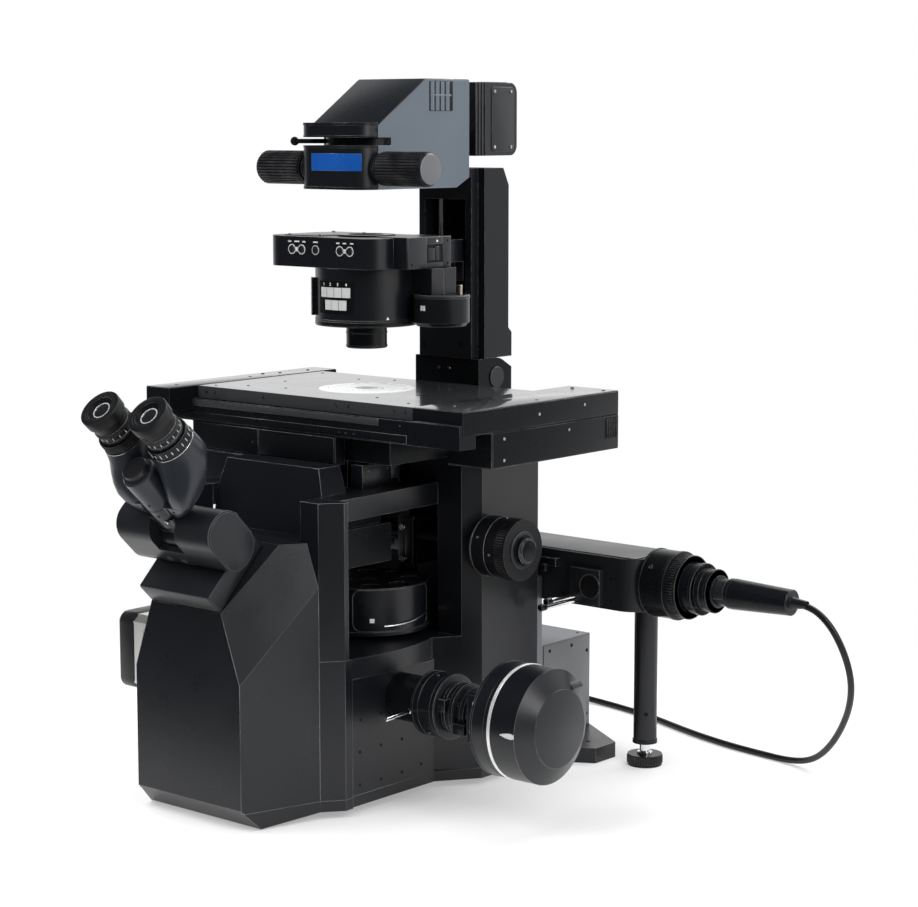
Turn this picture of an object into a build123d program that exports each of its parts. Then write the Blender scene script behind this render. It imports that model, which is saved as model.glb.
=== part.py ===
"""Inverted microscope with two cameras, a motorised stage, a tilting lamp pillar and a side illuminator.

Millimetres. Built about the optical axis (x = y = 0, table at z = 0, -Y towards the user), then moved
so that the origin is the middle of the footprint on the table.
"""
from build123d import *
import os
from math import cos, pi, radians, sin, sqrt, tan

# Clearances
SLIDE_GAP = 0.3
RUN_FIT = 0.05
SEAT_GAP = 0.15

# Stand outline in plan, right half (x, y)
FRONT_Y = -284.0
FRONT_HALF = 79.5
SEAM_Y = -193.0
POST_Y = -171.0
SIDE_HALF = 121.0
POST_STEP = 3.0
POST_HALF = SIDE_HALF + POST_STEP
SEAM_STEP = 17.0
SEAM_HALF = POST_HALF - SEAM_STEP
WING_Y0 = -24.0
WING_Y1 = 21.0
WING_OUT = 32.0
WING_HALF = SIDE_HALF + WING_OUT
BACK_Y = 120.0

# Base plate and feet
FOOT_H = 8.0
FOOT_R = 20.0
FOOT_FRONT = (58.0, -236.0)
FOOT_INSET = 35.0
FOOT_REAR = (WING_HALF - FOOT_INSET, 88.0)
BASE_T = 12.0
BASE_TOP = FOOT_H + BASE_T
TOE_Y = -260.0
TOE_Z = 1.0
PORT_RISE = 97.0
PORT_Z = BASE_TOP + PORT_RISE
PRISM_DROP = 25.0
PLINTH = (46.0, 44.0, PORT_RISE - PRISM_DROP)

# Front covers
COVER_T = 4.0
CHIN_RISE = 4.0
CHIN_Z = BASE_TOP + CHIN_RISE
KNEE_RISE = 138.0
KNEE_Z = BASE_TOP + KNEE_RISE
TAPER_HALF = 53.0
TAPER_RISE = 74.0
TAPER_Z = KNEE_Z + TAPER_RISE
SHOULDER_RISE = 20.0
SHOULDER_Z = TAPER_Z + SHOULDER_RISE
COVER_RISE = 46.0
COVER_TOP = SHOULDER_Z + COVER_RISE
UPPER_HALF = 80.7
UPPER_Y0 = -165.0
UPPER_Y1 = -153.0
UPPER_BACK = -120.0
UPPER_TOP_HALF = 70.0
UPPER_SEAT = -145.0

# Frame casting
PANEL_T = 3.0
PANEL_Y0 = -160.0
CAVITY_WALL = 18.0
CAVITY_HALF = SIDE_HALF - PANEL_T - CAVITY_WALL
CAVITY_BACK = 100.0
WALL = 12.0
PORT_HEADROOM = 55.0
DECK_Z = PORT_Z + PORT_HEADROOM
DECK_T = 14.0
DECK_BAND = 22.0
DECK_BULGE = 10.0
PANEL_GAP = 2.0
PANEL_TOP = DECK_Z - DECK_BAND - PANEL_GAP
BAY_FRONT = -165.0
BAY_BACK = 2.5
NICHE_WALL = 49.0
NICHE_HALF = WING_HALF - NICHE_WALL
NICHE_BACK = 70.0
BAY_H = 146.0
ROOF_Z0 = DECK_Z + BAY_H
ROOF_T = 24.0
ROOF_TOP = ROOF_Z0 + ROOF_T
UPPER_KNEE_DROP = 6.0
UPPER_KNEE_Z = ROOF_TOP - UPPER_KNEE_DROP
UPPER_RISE = 29.0
UPPER_TOP = ROOF_TOP + UPPER_RISE
ROOF_STEP = 12.0
ROOF_HALF = POST_HALF - ROOF_STEP
OPEN_HALF = 62.0
OPEN_FRONT = -75.0
OPEN_BACK = 106.0
TOWER_H = 30.0
TOWER_TOP = ROOF_TOP + TOWER_H
COLUMN_HALF = 55.0
COLUMN_T = 17.0
NECK_HALF = 49.0
NECK_DROP = 56.0
NECK_Z0 = ROOF_Z0 - NECK_DROP
STAGE_BASE_T = 28.0
STAGE_BASE_TOP = TOWER_TOP + STAGE_BASE_T
NECK_TOP = STAGE_BASE_TOP
NECK_BACK = 199.0
LIGHT_R = 16.0
LIGHT_RISE = 45.0
LIGHT_Z = DECK_Z + LIGHT_RISE

# Side ports and cameras
PORT_Y = -80.0
PORT_R = 20.0
ADAPTOR_STEPS = ((26.0, 46.0), (35.0, 32.0), (28.0, 20.0), (23.0, 21.0))
LEFT_COLLAR_R = 32.5
FLANGE_T = 31.0
FLANGE_HALF = 28.0
FLANGE_CHAMFER = 5.0
FLANGE_X0 = SIDE_HALF + sum(length for _, length in ADAPTOR_STEPS)
CAMERA_X0 = FLANGE_X0 + FLANGE_T
CAMERA_LEN = 71.0
CAMERA_X1 = CAMERA_X0 + CAMERA_LEN
CAMERA_R = 61.0
CAMERA_RIM = 12.0
CAMERA_CHAMFER = 19.0
LEFT_NECK_R = 25.0
LEFT_CAMERA_OUT = 69.0
LEFT_CAMERA_X0 = -SIDE_HALF - LEFT_CAMERA_OUT
LEFT_CAMERA_LEN = 97.0
LEFT_CAMERA_X1 = LEFT_CAMERA_X0 - LEFT_CAMERA_LEN
LEFT_CAMERA_HALF = 45.0
LEFT_CAMERA_CHAMFER = 8.0

# Rear box, rear foot and cord socket
BOX_HALF = 120.0
BOX_T = 5.0
BOX_BACK = 263.0
BOX_STEP_Y = 170.0
REAR_FOOT_T = 18.0
BOX_H = 112.0
BOX_TOP = REAR_FOOT_T + BOX_H
BOX_STEP_H = 84.0
BOX_STEP_TOP = BOX_TOP + BOX_STEP_H
REAR_FOOT_HALF = 196.0
REAR_FOOT_Y = (176.0, 214.0)
SOCKET_X = -65.0
SOCKET_RISE = 50.0
SOCKET_Z = REAR_FOOT_T + SOCKET_RISE
SOCKET_R = 11.0
SOCKET_LEN = 15.0

# Side illuminator
ARM_Y0 = 171.0
ARM_Y1 = 250.0
ARM_UNDER = 31.0
ARM_Z0 = LIGHT_Z - ARM_UNDER
ARM_OVER = 30.0
ARM_Z1 = LIGHT_Z + ARM_OVER
ARM_OUT = 103.0
ARM_END = WING_HALF + ARM_OUT
ARM_HALF = 40.0
ARM_CORNER_R = 24.0
LEG_INSET = 16.0
LEG_X = ARM_END - LEG_INSET
LEG_Y = 212.0
LEG_R = 13.5
LEG_Z0 = 26.0
LEVEL_R = 20.0
LEVEL_H = 13.0
LEVEL_STEM_R = 6.0
LEVEL_STEM_LEN = 40.0
SLIDER_OUT = 18.0
SLIDER_PITCH = 8.0
SLIDER_RISE = 6.5
SLIDER_RODS = ((WING_HALF + SLIDER_OUT, ARM_Z0 + SLIDER_RISE),
               (WING_HALF + SLIDER_OUT + SLIDER_PITCH, ARM_Z0 + SLIDER_RISE + SLIDER_PITCH))
SLIDER_R = 3.0
SLIDER_Y0 = 102.0
SLIDER_Y1 = 235.0
SLIDER_SPARE = 5.0
ARM_LIGHT_R = 12.0
LAMP_STEPS = ((39.0, 34.0), (36.0, 15.0), (29.0, 17.0), (24.0, 17.0))
GUIDE_R = 15.5
GUIDE_LEN = 23.0
GRIP_R = 17.5
GRIP_LEN = 75.0
GRIP_TAPER = 3.0

# Light guide cord
CORD_D = 7.5
CORD_FALL = ((0, 0, 1.0), (22, 0, 1.0), (47, 0.5, 0.926), (63, 5.5, 0.793), (66, 18.5, 0.636),
             (54, 37.5, 0.479),
             (31, 59.5, 0.323), (3, 79.5, 0.175), (-29, 97.5, 0.0645))
CORD_LIE = ((372, 319, 4.2), (328, 324, 4), (280, 331, 4), (226, 345, 4), (180, 361, 4), (134, 379, 4),
            (90, 391, 4),
            (46, 400, 4))
CORD_RISE = ((67, 123, 0.0882), (29, 110, 0.2353), (7, 82, 0.5147), (0, 52, 0.8235), (0, 25, 1.0),
             (0, 0, 1.0))

# Lamp pillar and its hinge
HINGE_Y = 171.0
HINGE_RISE = 42.0
HINGE_Z = NECK_TOP + HINGE_RISE
HINGE_FRONT = 139.0
HINGE_R = 23.0
HINGE_TOP = HINGE_Z + HINGE_R
PIN_R = 5.0
PIN_CAP_R = 10.0
PIN_CAP_T = 0.8
KNUCKLE_R = 17.0
KNUCKLE_HALF = 25.0
TILT_MAX = 30.0
PILLAR_HALF = 50.0
PILLAR_Y0 = 148.0
PILLAR_Y1 = 192.0
PILLAR_FRONT = 136.0
PILLAR_FRONT_HALF = 40.0
PILLAR_H = 221.0
PILLAR_TOP = HINGE_TOP + PILLAR_H
PILLAR_CHAMFER = 20.0
STEP_DEPTH = 6.0
STEP_H = 34.0
CHANNEL_HALF = 31.0
CHANNEL_DEPTH = 44.0
CHANNEL_BACK = PILLAR_FRONT + CHANNEL_DEPTH
CHANNEL_FOOT = 38.0
CHANNEL_Z0 = HINGE_TOP + CHANNEL_FOOT
CHANNEL_CAP = 36.0
CHANNEL_Z1 = PILLAR_TOP - CHANNEL_CAP
ROD_R = 4.0
ROD_X = -19.0
ROD_Y = 152.0

# Lamp head
HEAD_SINK = 21.0
HEAD_BOTTOM = PILLAR_TOP - HEAD_SINK
NOSE_LOW = 48.0
SLOT_Z0 = HEAD_BOTTOM + NOSE_LOW
SLOT_H = 9.0
SLOT_Z1 = SLOT_Z0 + SLOT_H
NOSE_CAP = 16.0
NOSE_TOP = SLOT_Z1 + NOSE_CAP
LIP_DROP = 4.0
HEAD_LIP_Z = NOSE_TOP - LIP_DROP
HEAD_RISE = 52.0
HEAD_TOP = HEAD_LIP_Z + HEAD_RISE
LAMP_DROP = 44.0
LAMP_Z = HEAD_TOP - LAMP_DROP
HEAD_HALF = 51.0
HEAD_FRONT = -35.0
HEAD_ROOF_Y = 44.0
HEAD_BACK = 119.0
HEAD_HEEL = (22.0, 11.0)
NOSE_HALF = 50.0
NOSE_FRONT = -62.0
NOSE_R = 24.0
SLOT_BACK = -14.0
STOP_RING_R = 44.0
STOP_BORE_R = 20.0
LEVER_ANGLE = 215.0
LEVER_R = 2.6
LEVER_LEN = 80.0
LEVER_BALL_R = 5.0
GRIP_Y = -32.0
HANDLE_R = 18.0
HANDLE_UNDER = 5.0
GRIP_Z = HEAD_BOTTOM + HANDLE_R + HANDLE_UNDER
HANDLE_END = 124.0
HANDLE_NECK = 5.0
LAMP_TUBE_R = 25.0
LAMP_BORE_R = 12.0
FIN_Y0 = 139.0
FIN_T = 3.0
FIN_PITCH = 5.5
FIN_COUNT = 3
LAMP_Y1 = 214.0
LAMP_HALF = 44.0
LAMP_REACH = 42.0
LAMP_BOTTOM = LAMP_Z - LAMP_REACH
LAMP_TOP = LAMP_Z + LAMP_REACH
LAMP_WALL = 4.0
LED_R = 22.0

# Stage
STAGE_H = 40.0
STAGE_TOP = STAGE_BASE_TOP + STAGE_H
STAGE_BASE_HALF = 118.0
STAGE_OPEN_HALF = 76.0
STAGE_OPEN_FRONT = -72.0
STAGE_BASE_BACK = 134.0
PLATE_T = 14.0
PLATE_LEFT = -167.0
PLATE_RIGHT = 163.0
PLATE_FRONT = -105.0
PLATE_BACK = 100.0
FLANGE_LEFT = -205.0
FLANGE_Y = (-149.0, 126.0)
BLOCK_RIGHT = 233.0
BLOCK_Y = (-107.0, 163.0)
BLOCK_T = 26.0
BLOCK_BOTTOM = STAGE_TOP - BLOCK_T
MOTOR_X0 = 172.0
MOTOR_Y = (-59.0, 163.0)
MOTOR_H = 39.0
MOTOR_BOTTOM = BLOCK_BOTTOM - MOTOR_H
BAR_FRONT = -112.0
BAR_T = 26.0
REAR_BAR_Y = (112.0, 136.0)
LEDGE = 18.0
APRON = (-168.0, 56.0)
APRON_T = 15.0
APRON_H = 31.0
APRON_Z0 = STAGE_BASE_TOP - APRON_H
INSERT_R = 55.0
INSERT_T = 4.0
INSERT_LEDGE = 5.0
INSERT_HOLE_R = 13.0

# Condenser
LENS_GAP = 47.0
LENS_Z0 = STAGE_TOP + LENS_GAP
LENS_LEN = 26.0
HOUSING_Z0 = LENS_Z0 + LENS_LEN
HOUSING_H = 65.0
COND_Z0 = HOUSING_Z0 + HOUSING_H
COND_H = 34.0
COND_Z1 = COND_Z0 + COND_H
BUTTON_RISE = 19.5
BUTTON_Z = COND_Z0 + BUTTON_RISE
DRUM_LIFT = 1.0
DRUM_Z0 = HOUSING_Z0 + DRUM_LIFT
DRUM_H = 35.0
DRUM_Z1 = DRUM_Z0 + DRUM_H
CARRIER_DROP = 22.0
CARRIER_Z0 = COND_Z0 - CARRIER_DROP
CARRIER_STEP = 8.0
CARRIER_Z1 = COND_Z1 - CARRIER_STEP
WEB_DROP = 14.0
LOWER_BOX_FRONT = 22.0
COND_LEFT = -106.0
COND_RIGHT = 62.0
COND_HALF_Y = 57.0
COND_CORNER_R = 26.0
SIDE_BOX = (82.0, -23.0, 50.0)
HOUSING_R = 57.5
HOUSING_T = 4.0
LENS_R = 23.0
TURRET_HOLE_R = 8.0
TURRET_OFFSET = 19.0
TURRET_R = 33.0
TURRET_T = 12.0
TURRET_POST_R = 4.0
TURRET_HOLES = 5
DRUM_X = 85.0
DRUM_Y = 31.0
DRUM_R = 31.5
DRUM_SPINDLE_R = 5.0
DRUM_POST_R = 3.0
DRUM_POST_H = 11.0
BUTTON_X = (-60.5, -45.5, -24.0, 13.0, 28.0)
BUTTON_R = 4.2
BUTTON_PROUD = 1.4
BUTTON_DEPTH = 6.0
BUTTON_TRAVEL = 1.0
CARRIER_HALF = 26.0
CARRIER_BACK = 172.0

# Nosepiece and focus
CONE = 15.0
SEAT_R = 32.0
SEAT_DROP = 58.0
SEAT_Z = STAGE_TOP - SEAT_DROP
OBJECTIVES = 6
OBJECTIVE_R = 13.0
OBJECTIVE_TIP_R = 6.0
OBJECTIVE_LEN = 40.0
OBJECTIVE_STEP = 26.0
OBJECTIVE_BORE_R = 9.0
NOSEPIECE_R = 48.0
NOSEPIECE_T = 22.0
NOSEPIECE_DROP = 4.0
SPINDLE_R = 8.0
BOSS_R = 22.0
LIFT_DROP = 66.0
LIFT_Z0 = SEAT_Z - LIFT_DROP
LIFT_T = 16.0
LIFT_Z1 = LIFT_Z0 + LIFT_T
LIFT_HALF = 40.0
LIFT_FRONT = -25.0
SLIDE_HALF = 25.0
SLIDE_T = 18.0
SLIDE_DROP = 54.0
SLIDE_Z0 = LIFT_Z0 - SLIDE_DROP
RAIL_T = 8.0
RAIL_HALF = 20.0
RAIL_DROP = 18.0
RAIL_Z0 = SLIDE_Z0 - RAIL_DROP
RAIL_STOP = 2.0
RAIL_Z1 = LIFT_Z0 - RAIL_STOP
KNOB_Y = 25.0
KNOB_RISE = 12.0
KNOB_Z = SLIDE_Z0 + KNOB_RISE
KNOB_SHAFT_R = 6.0
KNOB_R = 34.0
KNOB_LEN = 54.0
KNOB_COLLAR_R = 28.0
KNOB_COLLAR_LEN = 6.0
FINE_R = 14.0
FINE_LEN = 8.0
FINE_SPINDLE_R = 3.0
FINE_SPINDLE_LEN = 30.0

# Fluorescence turret and analyser module in the bay
MIRROR_X = 32.0
MIRROR_Y = -32.0
MIRROR_R = 64.0
MIRROR_LIFT = 4.0
MIRROR_Z0 = DECK_Z + MIRROR_LIFT
MIRROR_H = 53.0
MIRROR_Z1 = MIRROR_Z0 + MIRROR_H
MIRROR_POST_R = 8.0
CUBES = 8
CUBE_R = 12.0
MODULE_X = (20.0, 100.0)
MODULE_BACK = -71.0
MODULE_DROP = 12.0
MODULE_H = 42.0
MODULE_Z = (ROOF_Z0 - MODULE_DROP - MODULE_H, ROOF_Z0 - MODULE_DROP)
MODULE_NECK = 8.0

# Observation tube, measured along the seat (s, up and back) and away from it (n, up and front)
SEAT_LEN = 90.0
TUBE_HALF = 53.4
TUBE_N = 26.0
DRUM_HALF = 70.0
DRUM_OUTLINE = ((30.0, 18.0), (32.5, 74.0), (37.0, 82.0), (46.0, 88.0), (55.0, 90.0), (81.0, 49.0),
                (79.0, 20.0))
TILT_S = 55.0
TILT_N = 56.0
TILT_BARREL_R = 17.0
STALK_HALF = 16.0
TILT_PIN_R = 5.0
TILT_ROOM_R = 35.5
WINDOW_HALF = 19.0
HEAD_PLANE = -297.0
HEAD_S0 = 44.0
HEAD_LOW = (38.0, 80.0)
HEAD_HIGH = (54.0, 110.0)
PIVOT_S = 62.0
PIVOT_R = 8.0
PIVOT_TOP = 152.0
PIVOT_CAP_R = 13.0
PIVOT_CAP_T = 5.0
EYE_S = 94.7
EYE_HALF = 36.0
BARREL_R = 25.0
BARREL_TOP = 164.0
KNUCKLE_OUT_R = 15.5
CHEEK_OUTLINE = ((16.0, 47.0), (40.0, 47.0), (57.0, 64.0), (60.0, 88.0), (52.0, 94.7), (16.0, 94.7))
EYEPIECE_BARREL_R = 16.0
DIOPTRE_R = 24.0
DIOPTRE_LEN = 11.0
EYEPIECE_RING_R = 20.0
EYEPIECE_RING_LEN = 9.0
EYECUP_R = 22.5
EYECUP_LEN = 26.0
EYECUP_TAPER = 3.0
EYE_LENS_R = 11.0
EYE_LENS_DEPTH = 4.0

DRUM_TOP = max(n for _, n in DRUM_OUTLINE)
SEAT = (0.0, FRONT_Y, TAPER_Z)
ALONG = (0.0, sqrt(0.5), sqrt(0.5))
AWAY = (0.0, -sqrt(0.5), sqrt(0.5))
MIN_UP = (Align.CENTER, Align.CENTER, Align.MIN)


def block(x0, x1, y0, y1, z0, z1):
    """A box between two corners."""
    return Pos((x0 + x1) / 2, (y0 + y1) / 2, (z0 + z1) / 2) * Box(x1 - x0, y1 - y0, z1 - z0)


def rod(start, direction, length, radius, end_radius=None):
    """A round bar, or a cone where its end radius differs."""
    plane = Plane(origin=start, z_dir=direction)
    if end_radius is None:
        return plane * Cylinder(radius, length, align=MIN_UP)
    return plane * Cone(radius, end_radius, length, align=MIN_UP)


def both_sides(right):
    """A closed outline from its right half."""
    return right + [(-x, y) for x, y in reversed(right)]


def prism(points, z0, z1):
    """An outline in plan, raised from z0 to z1."""
    return extrude(Plane.XY.offset(z0) * make_face(Polyline(*points, close=True)), amount=z1 - z0)


def profile_x(points, half):
    """An outline in the (y, z) plane, as wide as twice its half width."""
    plane = Plane(origin=(-half, 0, 0), x_dir=(0, 1, 0), z_dir=(1, 0, 0))
    return extrude(plane * make_face(Polyline(*points, close=True)), amount=2 * half)


def rounded_plan(x0, x1, y0, y1, z0, z1, radius):
    """A box with its four upright edges rounded."""
    solid = block(x0, x1, y0, y1, z0, z1)
    return fillet(solid.edges().filter_by(Axis.Z), radius)


def mirrored(solid):
    """The same piece on the other side of the optical axis."""
    return mirror(solid, about=Plane.YZ)


def keep_below(solid, point, normal, inset=0.0):
    """The part of a solid behind a plane, which is moved inwards by the inset."""
    n = Vector(*normal).normalized()
    return split(solid, bisect_by=Plane(origin=Vector(*point) - n * inset, z_dir=n), keep=Keep.BOTTOM)


def tube_plane(x, s, n, direction=AWAY):
    """A working plane on the observation tube, at its own coordinates."""
    origin = Vector(x, 0, 0) + Vector(*SEAT) + Vector(*ALONG) * s + Vector(*AWAY) * n
    return Plane(origin=origin, x_dir=(1, 0, 0), z_dir=direction)


def tube_bar(x, s, n0, n1, radius, end_radius=None):
    """A round bar along the eyepieces."""
    start = tube_plane(x, s, n0).origin
    return rod(start, AWAY, n1 - n0, radius, end_radius)


def tube_block(x0, x1, s0, s1, n0, n1):
    """A box in the observation tube's own directions."""
    middle = tube_plane((x0 + x1) / 2, (s0 + s1) / 2, (n0 + n1) / 2)
    return middle * Box(x1 - x0, s1 - s0, n1 - n0)


def tube_cross_bar(s, n, half, radius):
    """A round bar across the tube, along X."""
    return rod(tube_plane(-half, s, n).origin, (1, 0, 0), 2 * half, radius)


# Stand

def chin(solid, inset=0.0):
    """Cut the slanted chin under the front."""
    return keep_below(solid, (0, FRONT_Y, CHIN_Z), (0, -1, -1), inset)


def base_plate():
    right = [(FRONT_HALF, FRONT_Y + COVER_T), (SEAM_HALF, SEAM_Y), (POST_HALF, POST_Y), (POST_HALF, PANEL_Y0),
             (SIDE_HALF, PANEL_Y0), (SIDE_HALF, WING_Y0), (WING_HALF, WING_Y1), (WING_HALF, BACK_Y)]
    toe = prism(both_sides(right[:2]), TOE_Z, FOOT_H)
    toe = keep_below(toe, (0, SEAM_Y, FOOT_H), (0, FOOT_H - TOE_Z, TOE_Y - SEAM_Y))
    plate = chin(prism(both_sides(right), FOOT_H, BASE_TOP) + toe) - rubber_feet()
    width, depth, height = PLINTH
    return plate + block(-width / 2, width / 2, PORT_Y - depth / 2, PORT_Y + depth / 2, BASE_TOP,
                         BASE_TOP + height)


def rubber_feet():
    places = [(side * x, y) for x, y in (FOOT_FRONT, FOOT_REAR) for side in (-1, 1)]
    return Part() + [rod((x, y, 0), (0, 0, 1), FOOT_H, FOOT_R) for x, y in places]


def relay_prism():
    """A glass prism on its plinth, with its slope facing up and forward."""
    width, depth, height = PLINTH
    z0 = BASE_TOP + height
    points = [(PORT_Y - depth / 2, z0), (PORT_Y + depth / 2, z0), (PORT_Y + depth / 2, z0 + depth)]
    return profile_x(points, width / 2 - WALL / 2)


def front_form(inset):
    """The faceted front, moved inwards by the inset."""
    reach = inset + 1
    solid = block(-POST_HALF, POST_HALF, FRONT_Y - 1, SEAM_Y + (reach if inset else 0),
                  BASE_TOP - (reach if inset else 0), COVER_TOP - inset)
    solid = keep_below(solid, (0, FRONT_Y, 0), (0, -1, 0), inset)
    knee = Vector(FRONT_HALF, FRONT_Y, KNEE_Z)
    slope = (Vector(SEAM_HALF, SEAM_Y, SHOULDER_Z) - knee).cross(Vector(TAPER_HALF, FRONT_Y, TAPER_Z) - knee)
    for side in (-1, 1):
        solid = keep_below(solid, (side * FRONT_HALF, FRONT_Y, 0),
                           (side * (SEAM_Y - FRONT_Y), FRONT_HALF - SEAM_HALF, 0), inset)
        solid = keep_below(solid, (side * FRONT_HALF, FRONT_Y, KNEE_Z), (side * slope.X, slope.Y, slope.Z),
                           inset)
    solid = keep_below(solid, SEAT, AWAY, inset)
    return chin(solid, inset)


def front_cover():
    return front_form(0) - front_form(COVER_T)


def upper_front_cover():
    outline = [(UPPER_HALF, COVER_TOP), (UPPER_HALF, UPPER_KNEE_Z), (UPPER_TOP_HALF, UPPER_TOP)]
    points = both_sides(outline)
    depth = UPPER_BACK - UPPER_Y0
    plane = Plane(origin=(0, UPPER_BACK, 0), x_dir=(1, 0, 0), z_dir=(0, -1, 0))
    shell = extrude(plane * make_face(Polyline(*points, close=True)), amount=depth)
    rise = UPPER_TOP - COVER_TOP
    shell = keep_below(shell, (0, UPPER_Y0, COVER_TOP), (0, -rise, UPPER_Y1 - UPPER_Y0))
    hollow = block(-UPPER_TOP_HALF + COVER_T, UPPER_TOP_HALF - COVER_T, UPPER_Y1 + COVER_T, UPPER_BACK + 1,
                   COVER_TOP - 1, UPPER_TOP - COVER_T)
    roof = block(-ROOF_HALF, ROOF_HALF, UPPER_SEAT, UPPER_BACK + 1, COVER_TOP - 1, ROOF_TOP)
    return shell - hollow - roof


def deck_band(side):
    """The rounded edge of the lower deck, between the post and the wing."""
    core = SIDE_HALF - PANEL_T
    y0, y1 = PANEL_Y0, WING_Y0
    edge = Line((side * (core - WALL), y1), (side * (core - WALL), y0)) + Line(
        (side * (core - WALL), y0), (side * POST_HALF, y0))
    edge += ThreePointArc((side * POST_HALF, y0), (side * (SIDE_HALF + DECK_BULGE), (y0 + y1) / 2),
                          (side * core, y1))
    edge += Line((side * core, y1), (side * (core - WALL), y1))
    return extrude(Plane.XY.offset(DECK_Z - DECK_BAND) * make_face(edge), amount=DECK_BAND)


def frame_casting():
    core = SIDE_HALF - PANEL_T
    outline = both_sides([(SEAM_HALF, SEAM_Y), (POST_HALF, POST_Y), (POST_HALF, PANEL_Y0), (core, PANEL_Y0),
                          (core, WING_Y0), (WING_HALF, WING_Y1), (WING_HALF, BACK_Y)])
    frame = prism(outline, BASE_TOP, DECK_Z)
    frame -= block(-CAVITY_HALF, CAVITY_HALF, SEAM_Y + WALL, CAVITY_BACK, BASE_TOP, DECK_Z - DECK_T)
    frame += deck_band(1) + deck_band(-1)
    slope = (WING_Y1 - WING_Y0) / (WING_HALF - core)
    wing_x = core + (BAY_BACK - WING_Y0) / slope
    rear = prism(both_sides([(wing_x, BAY_BACK), (WING_HALF, WING_Y1), (WING_HALF, BACK_Y)]), DECK_Z,
                 TOWER_TOP)
    rear -= block(-NICHE_HALF, NICHE_HALF, BAY_BACK - 1, NICHE_BACK, DECK_Z, ROOF_Z0)
    rear -= block(-OPEN_HALF, OPEN_HALF, BAY_BACK - 1, OPEN_BACK, ROOF_Z0, TOWER_TOP + 1)
    frame += rear
    roof = prism(both_sides([(ROOF_HALF, BAY_FRONT), (NICHE_HALF, BAY_BACK), (NICHE_HALF, NICHE_BACK)]),
                 ROOF_Z0, ROOF_TOP)
    roof -= block(-UPPER_HALF - SEAT_GAP, UPPER_HALF + SEAT_GAP, BAY_FRONT - 1, UPPER_SEAT, ROOF_Z0 - 1,
                  ROOF_TOP + 1)
    frame += roof - block(-OPEN_HALF, OPEN_HALF, OPEN_FRONT, OPEN_BACK, ROOF_Z0 - 1, ROOF_TOP + 1)
    frame += block(-COLUMN_HALF, COLUMN_HALF, OPEN_FRONT - COLUMN_T, OPEN_FRONT, ROOF_TOP, TOWER_TOP)
    frame += block(-NECK_HALF, NECK_HALF, BACK_Y, HINGE_FRONT, NECK_Z0, TOWER_TOP)
    frame += block(-NECK_HALF, NECK_HALF, HINGE_FRONT, NECK_BACK, NECK_Z0, NECK_TOP)
    frame -= rod((0, NICHE_BACK - 1, LIGHT_Z), (0, 1, 0), BACK_Y - NICHE_BACK + 2, LIGHT_R)
    frame -= rod((0, 0, DECK_Z - DECK_T - 1), (0, 0, 1), DECK_T + 2, LIGHT_R)
    frame -= rod((-WING_HALF - 1, KNOB_Y, KNOB_Z), (1, 0, 0), 2 * WING_HALF + 2, KNOB_SHAFT_R + RUN_FIT)
    frame -= rod((-WING_HALF, PORT_Y, PORT_Z), (1, 0, 0), 2 * WING_HALF, PORT_R)
    return frame + rod((MIRROR_X, MIRROR_Y, DECK_Z), (0, 0, 1), MIRROR_Z1 - DECK_Z, MIRROR_POST_R)


def front_post():
    """The upright front of the stand: a wall that ends in two posts, one each side of the upper cover."""
    outline = both_sides([(SEAM_HALF, SEAM_Y), (POST_HALF, POST_Y), (POST_HALF, BAY_FRONT)])
    posts = prism(outline, COVER_TOP, ROOF_TOP)
    posts -= block(-UPPER_HALF - SEAT_GAP, UPPER_HALF + SEAT_GAP, SEAM_Y - 1, BAY_FRONT + 1, COVER_TOP,
                   ROOF_TOP + 1)
    return prism(outline, DECK_Z, COVER_TOP) + posts


def side_panels():
    panel = block(SIDE_HALF - PANEL_T, SIDE_HALF, PANEL_Y0, WING_Y0, BASE_TOP, PANEL_TOP)
    panel -= rod((0, PORT_Y, PORT_Z), (1, 0, 0), WING_HALF, PORT_R)
    return Part() + [panel, mirrored(panel)]


def rear_box():
    points = [(BACK_Y, REAR_FOOT_T), (BOX_BACK, REAR_FOOT_T), (BOX_BACK, BOX_TOP), (BOX_STEP_Y, BOX_TOP),
              (BOX_STEP_Y, BOX_STEP_TOP), (BACK_Y, BOX_STEP_TOP)]
    room = block(-BOX_HALF + BOX_T, BOX_HALF - BOX_T, BACK_Y + BOX_T, BOX_BACK - BOX_T, REAR_FOOT_T,
                 BOX_TOP - BOX_T)
    notch = ARM_HALF + SLIDE_GAP
    box = profile_x(points, BOX_HALF) - room
    return box - block(-notch, notch, BACK_Y, BOX_STEP_Y, ARM_Z0 - SLIDE_GAP, BOX_STEP_TOP)


def rear_foot():
    y0, y1 = REAR_FOOT_Y
    right = [(BOX_HALF, BACK_Y + 10), (REAR_FOOT_HALF, y0), (REAR_FOOT_HALF, y1), (BOX_HALF, BOX_BACK)]
    return prism(both_sides(right), 0, REAR_FOOT_T)


def cord_socket():
    socket = rod((SOCKET_X, BOX_BACK, SOCKET_Z), (0, 1, 0), SOCKET_LEN - 4, SOCKET_R)
    return socket + rod((SOCKET_X, BOX_BACK + SOCKET_LEN - 4, SOCKET_Z), (0, 1, 0), 4, SOCKET_R,
                        CORD_D / 2 + 1.5)


# Side ports

def right_port_adaptor():
    """Neck, clamp ring and nose, up to the camera's flange."""
    x = SIDE_HALF
    adaptor = Part()
    for radius, length in ADAPTOR_STEPS:
        adaptor += rod((x, PORT_Y, PORT_Z), (1, 0, 0), length, radius)
        x += length
    return adaptor - rod((SIDE_HALF, PORT_Y, PORT_Z), (1, 0, 0), x - SIDE_HALF, PORT_R)


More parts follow.
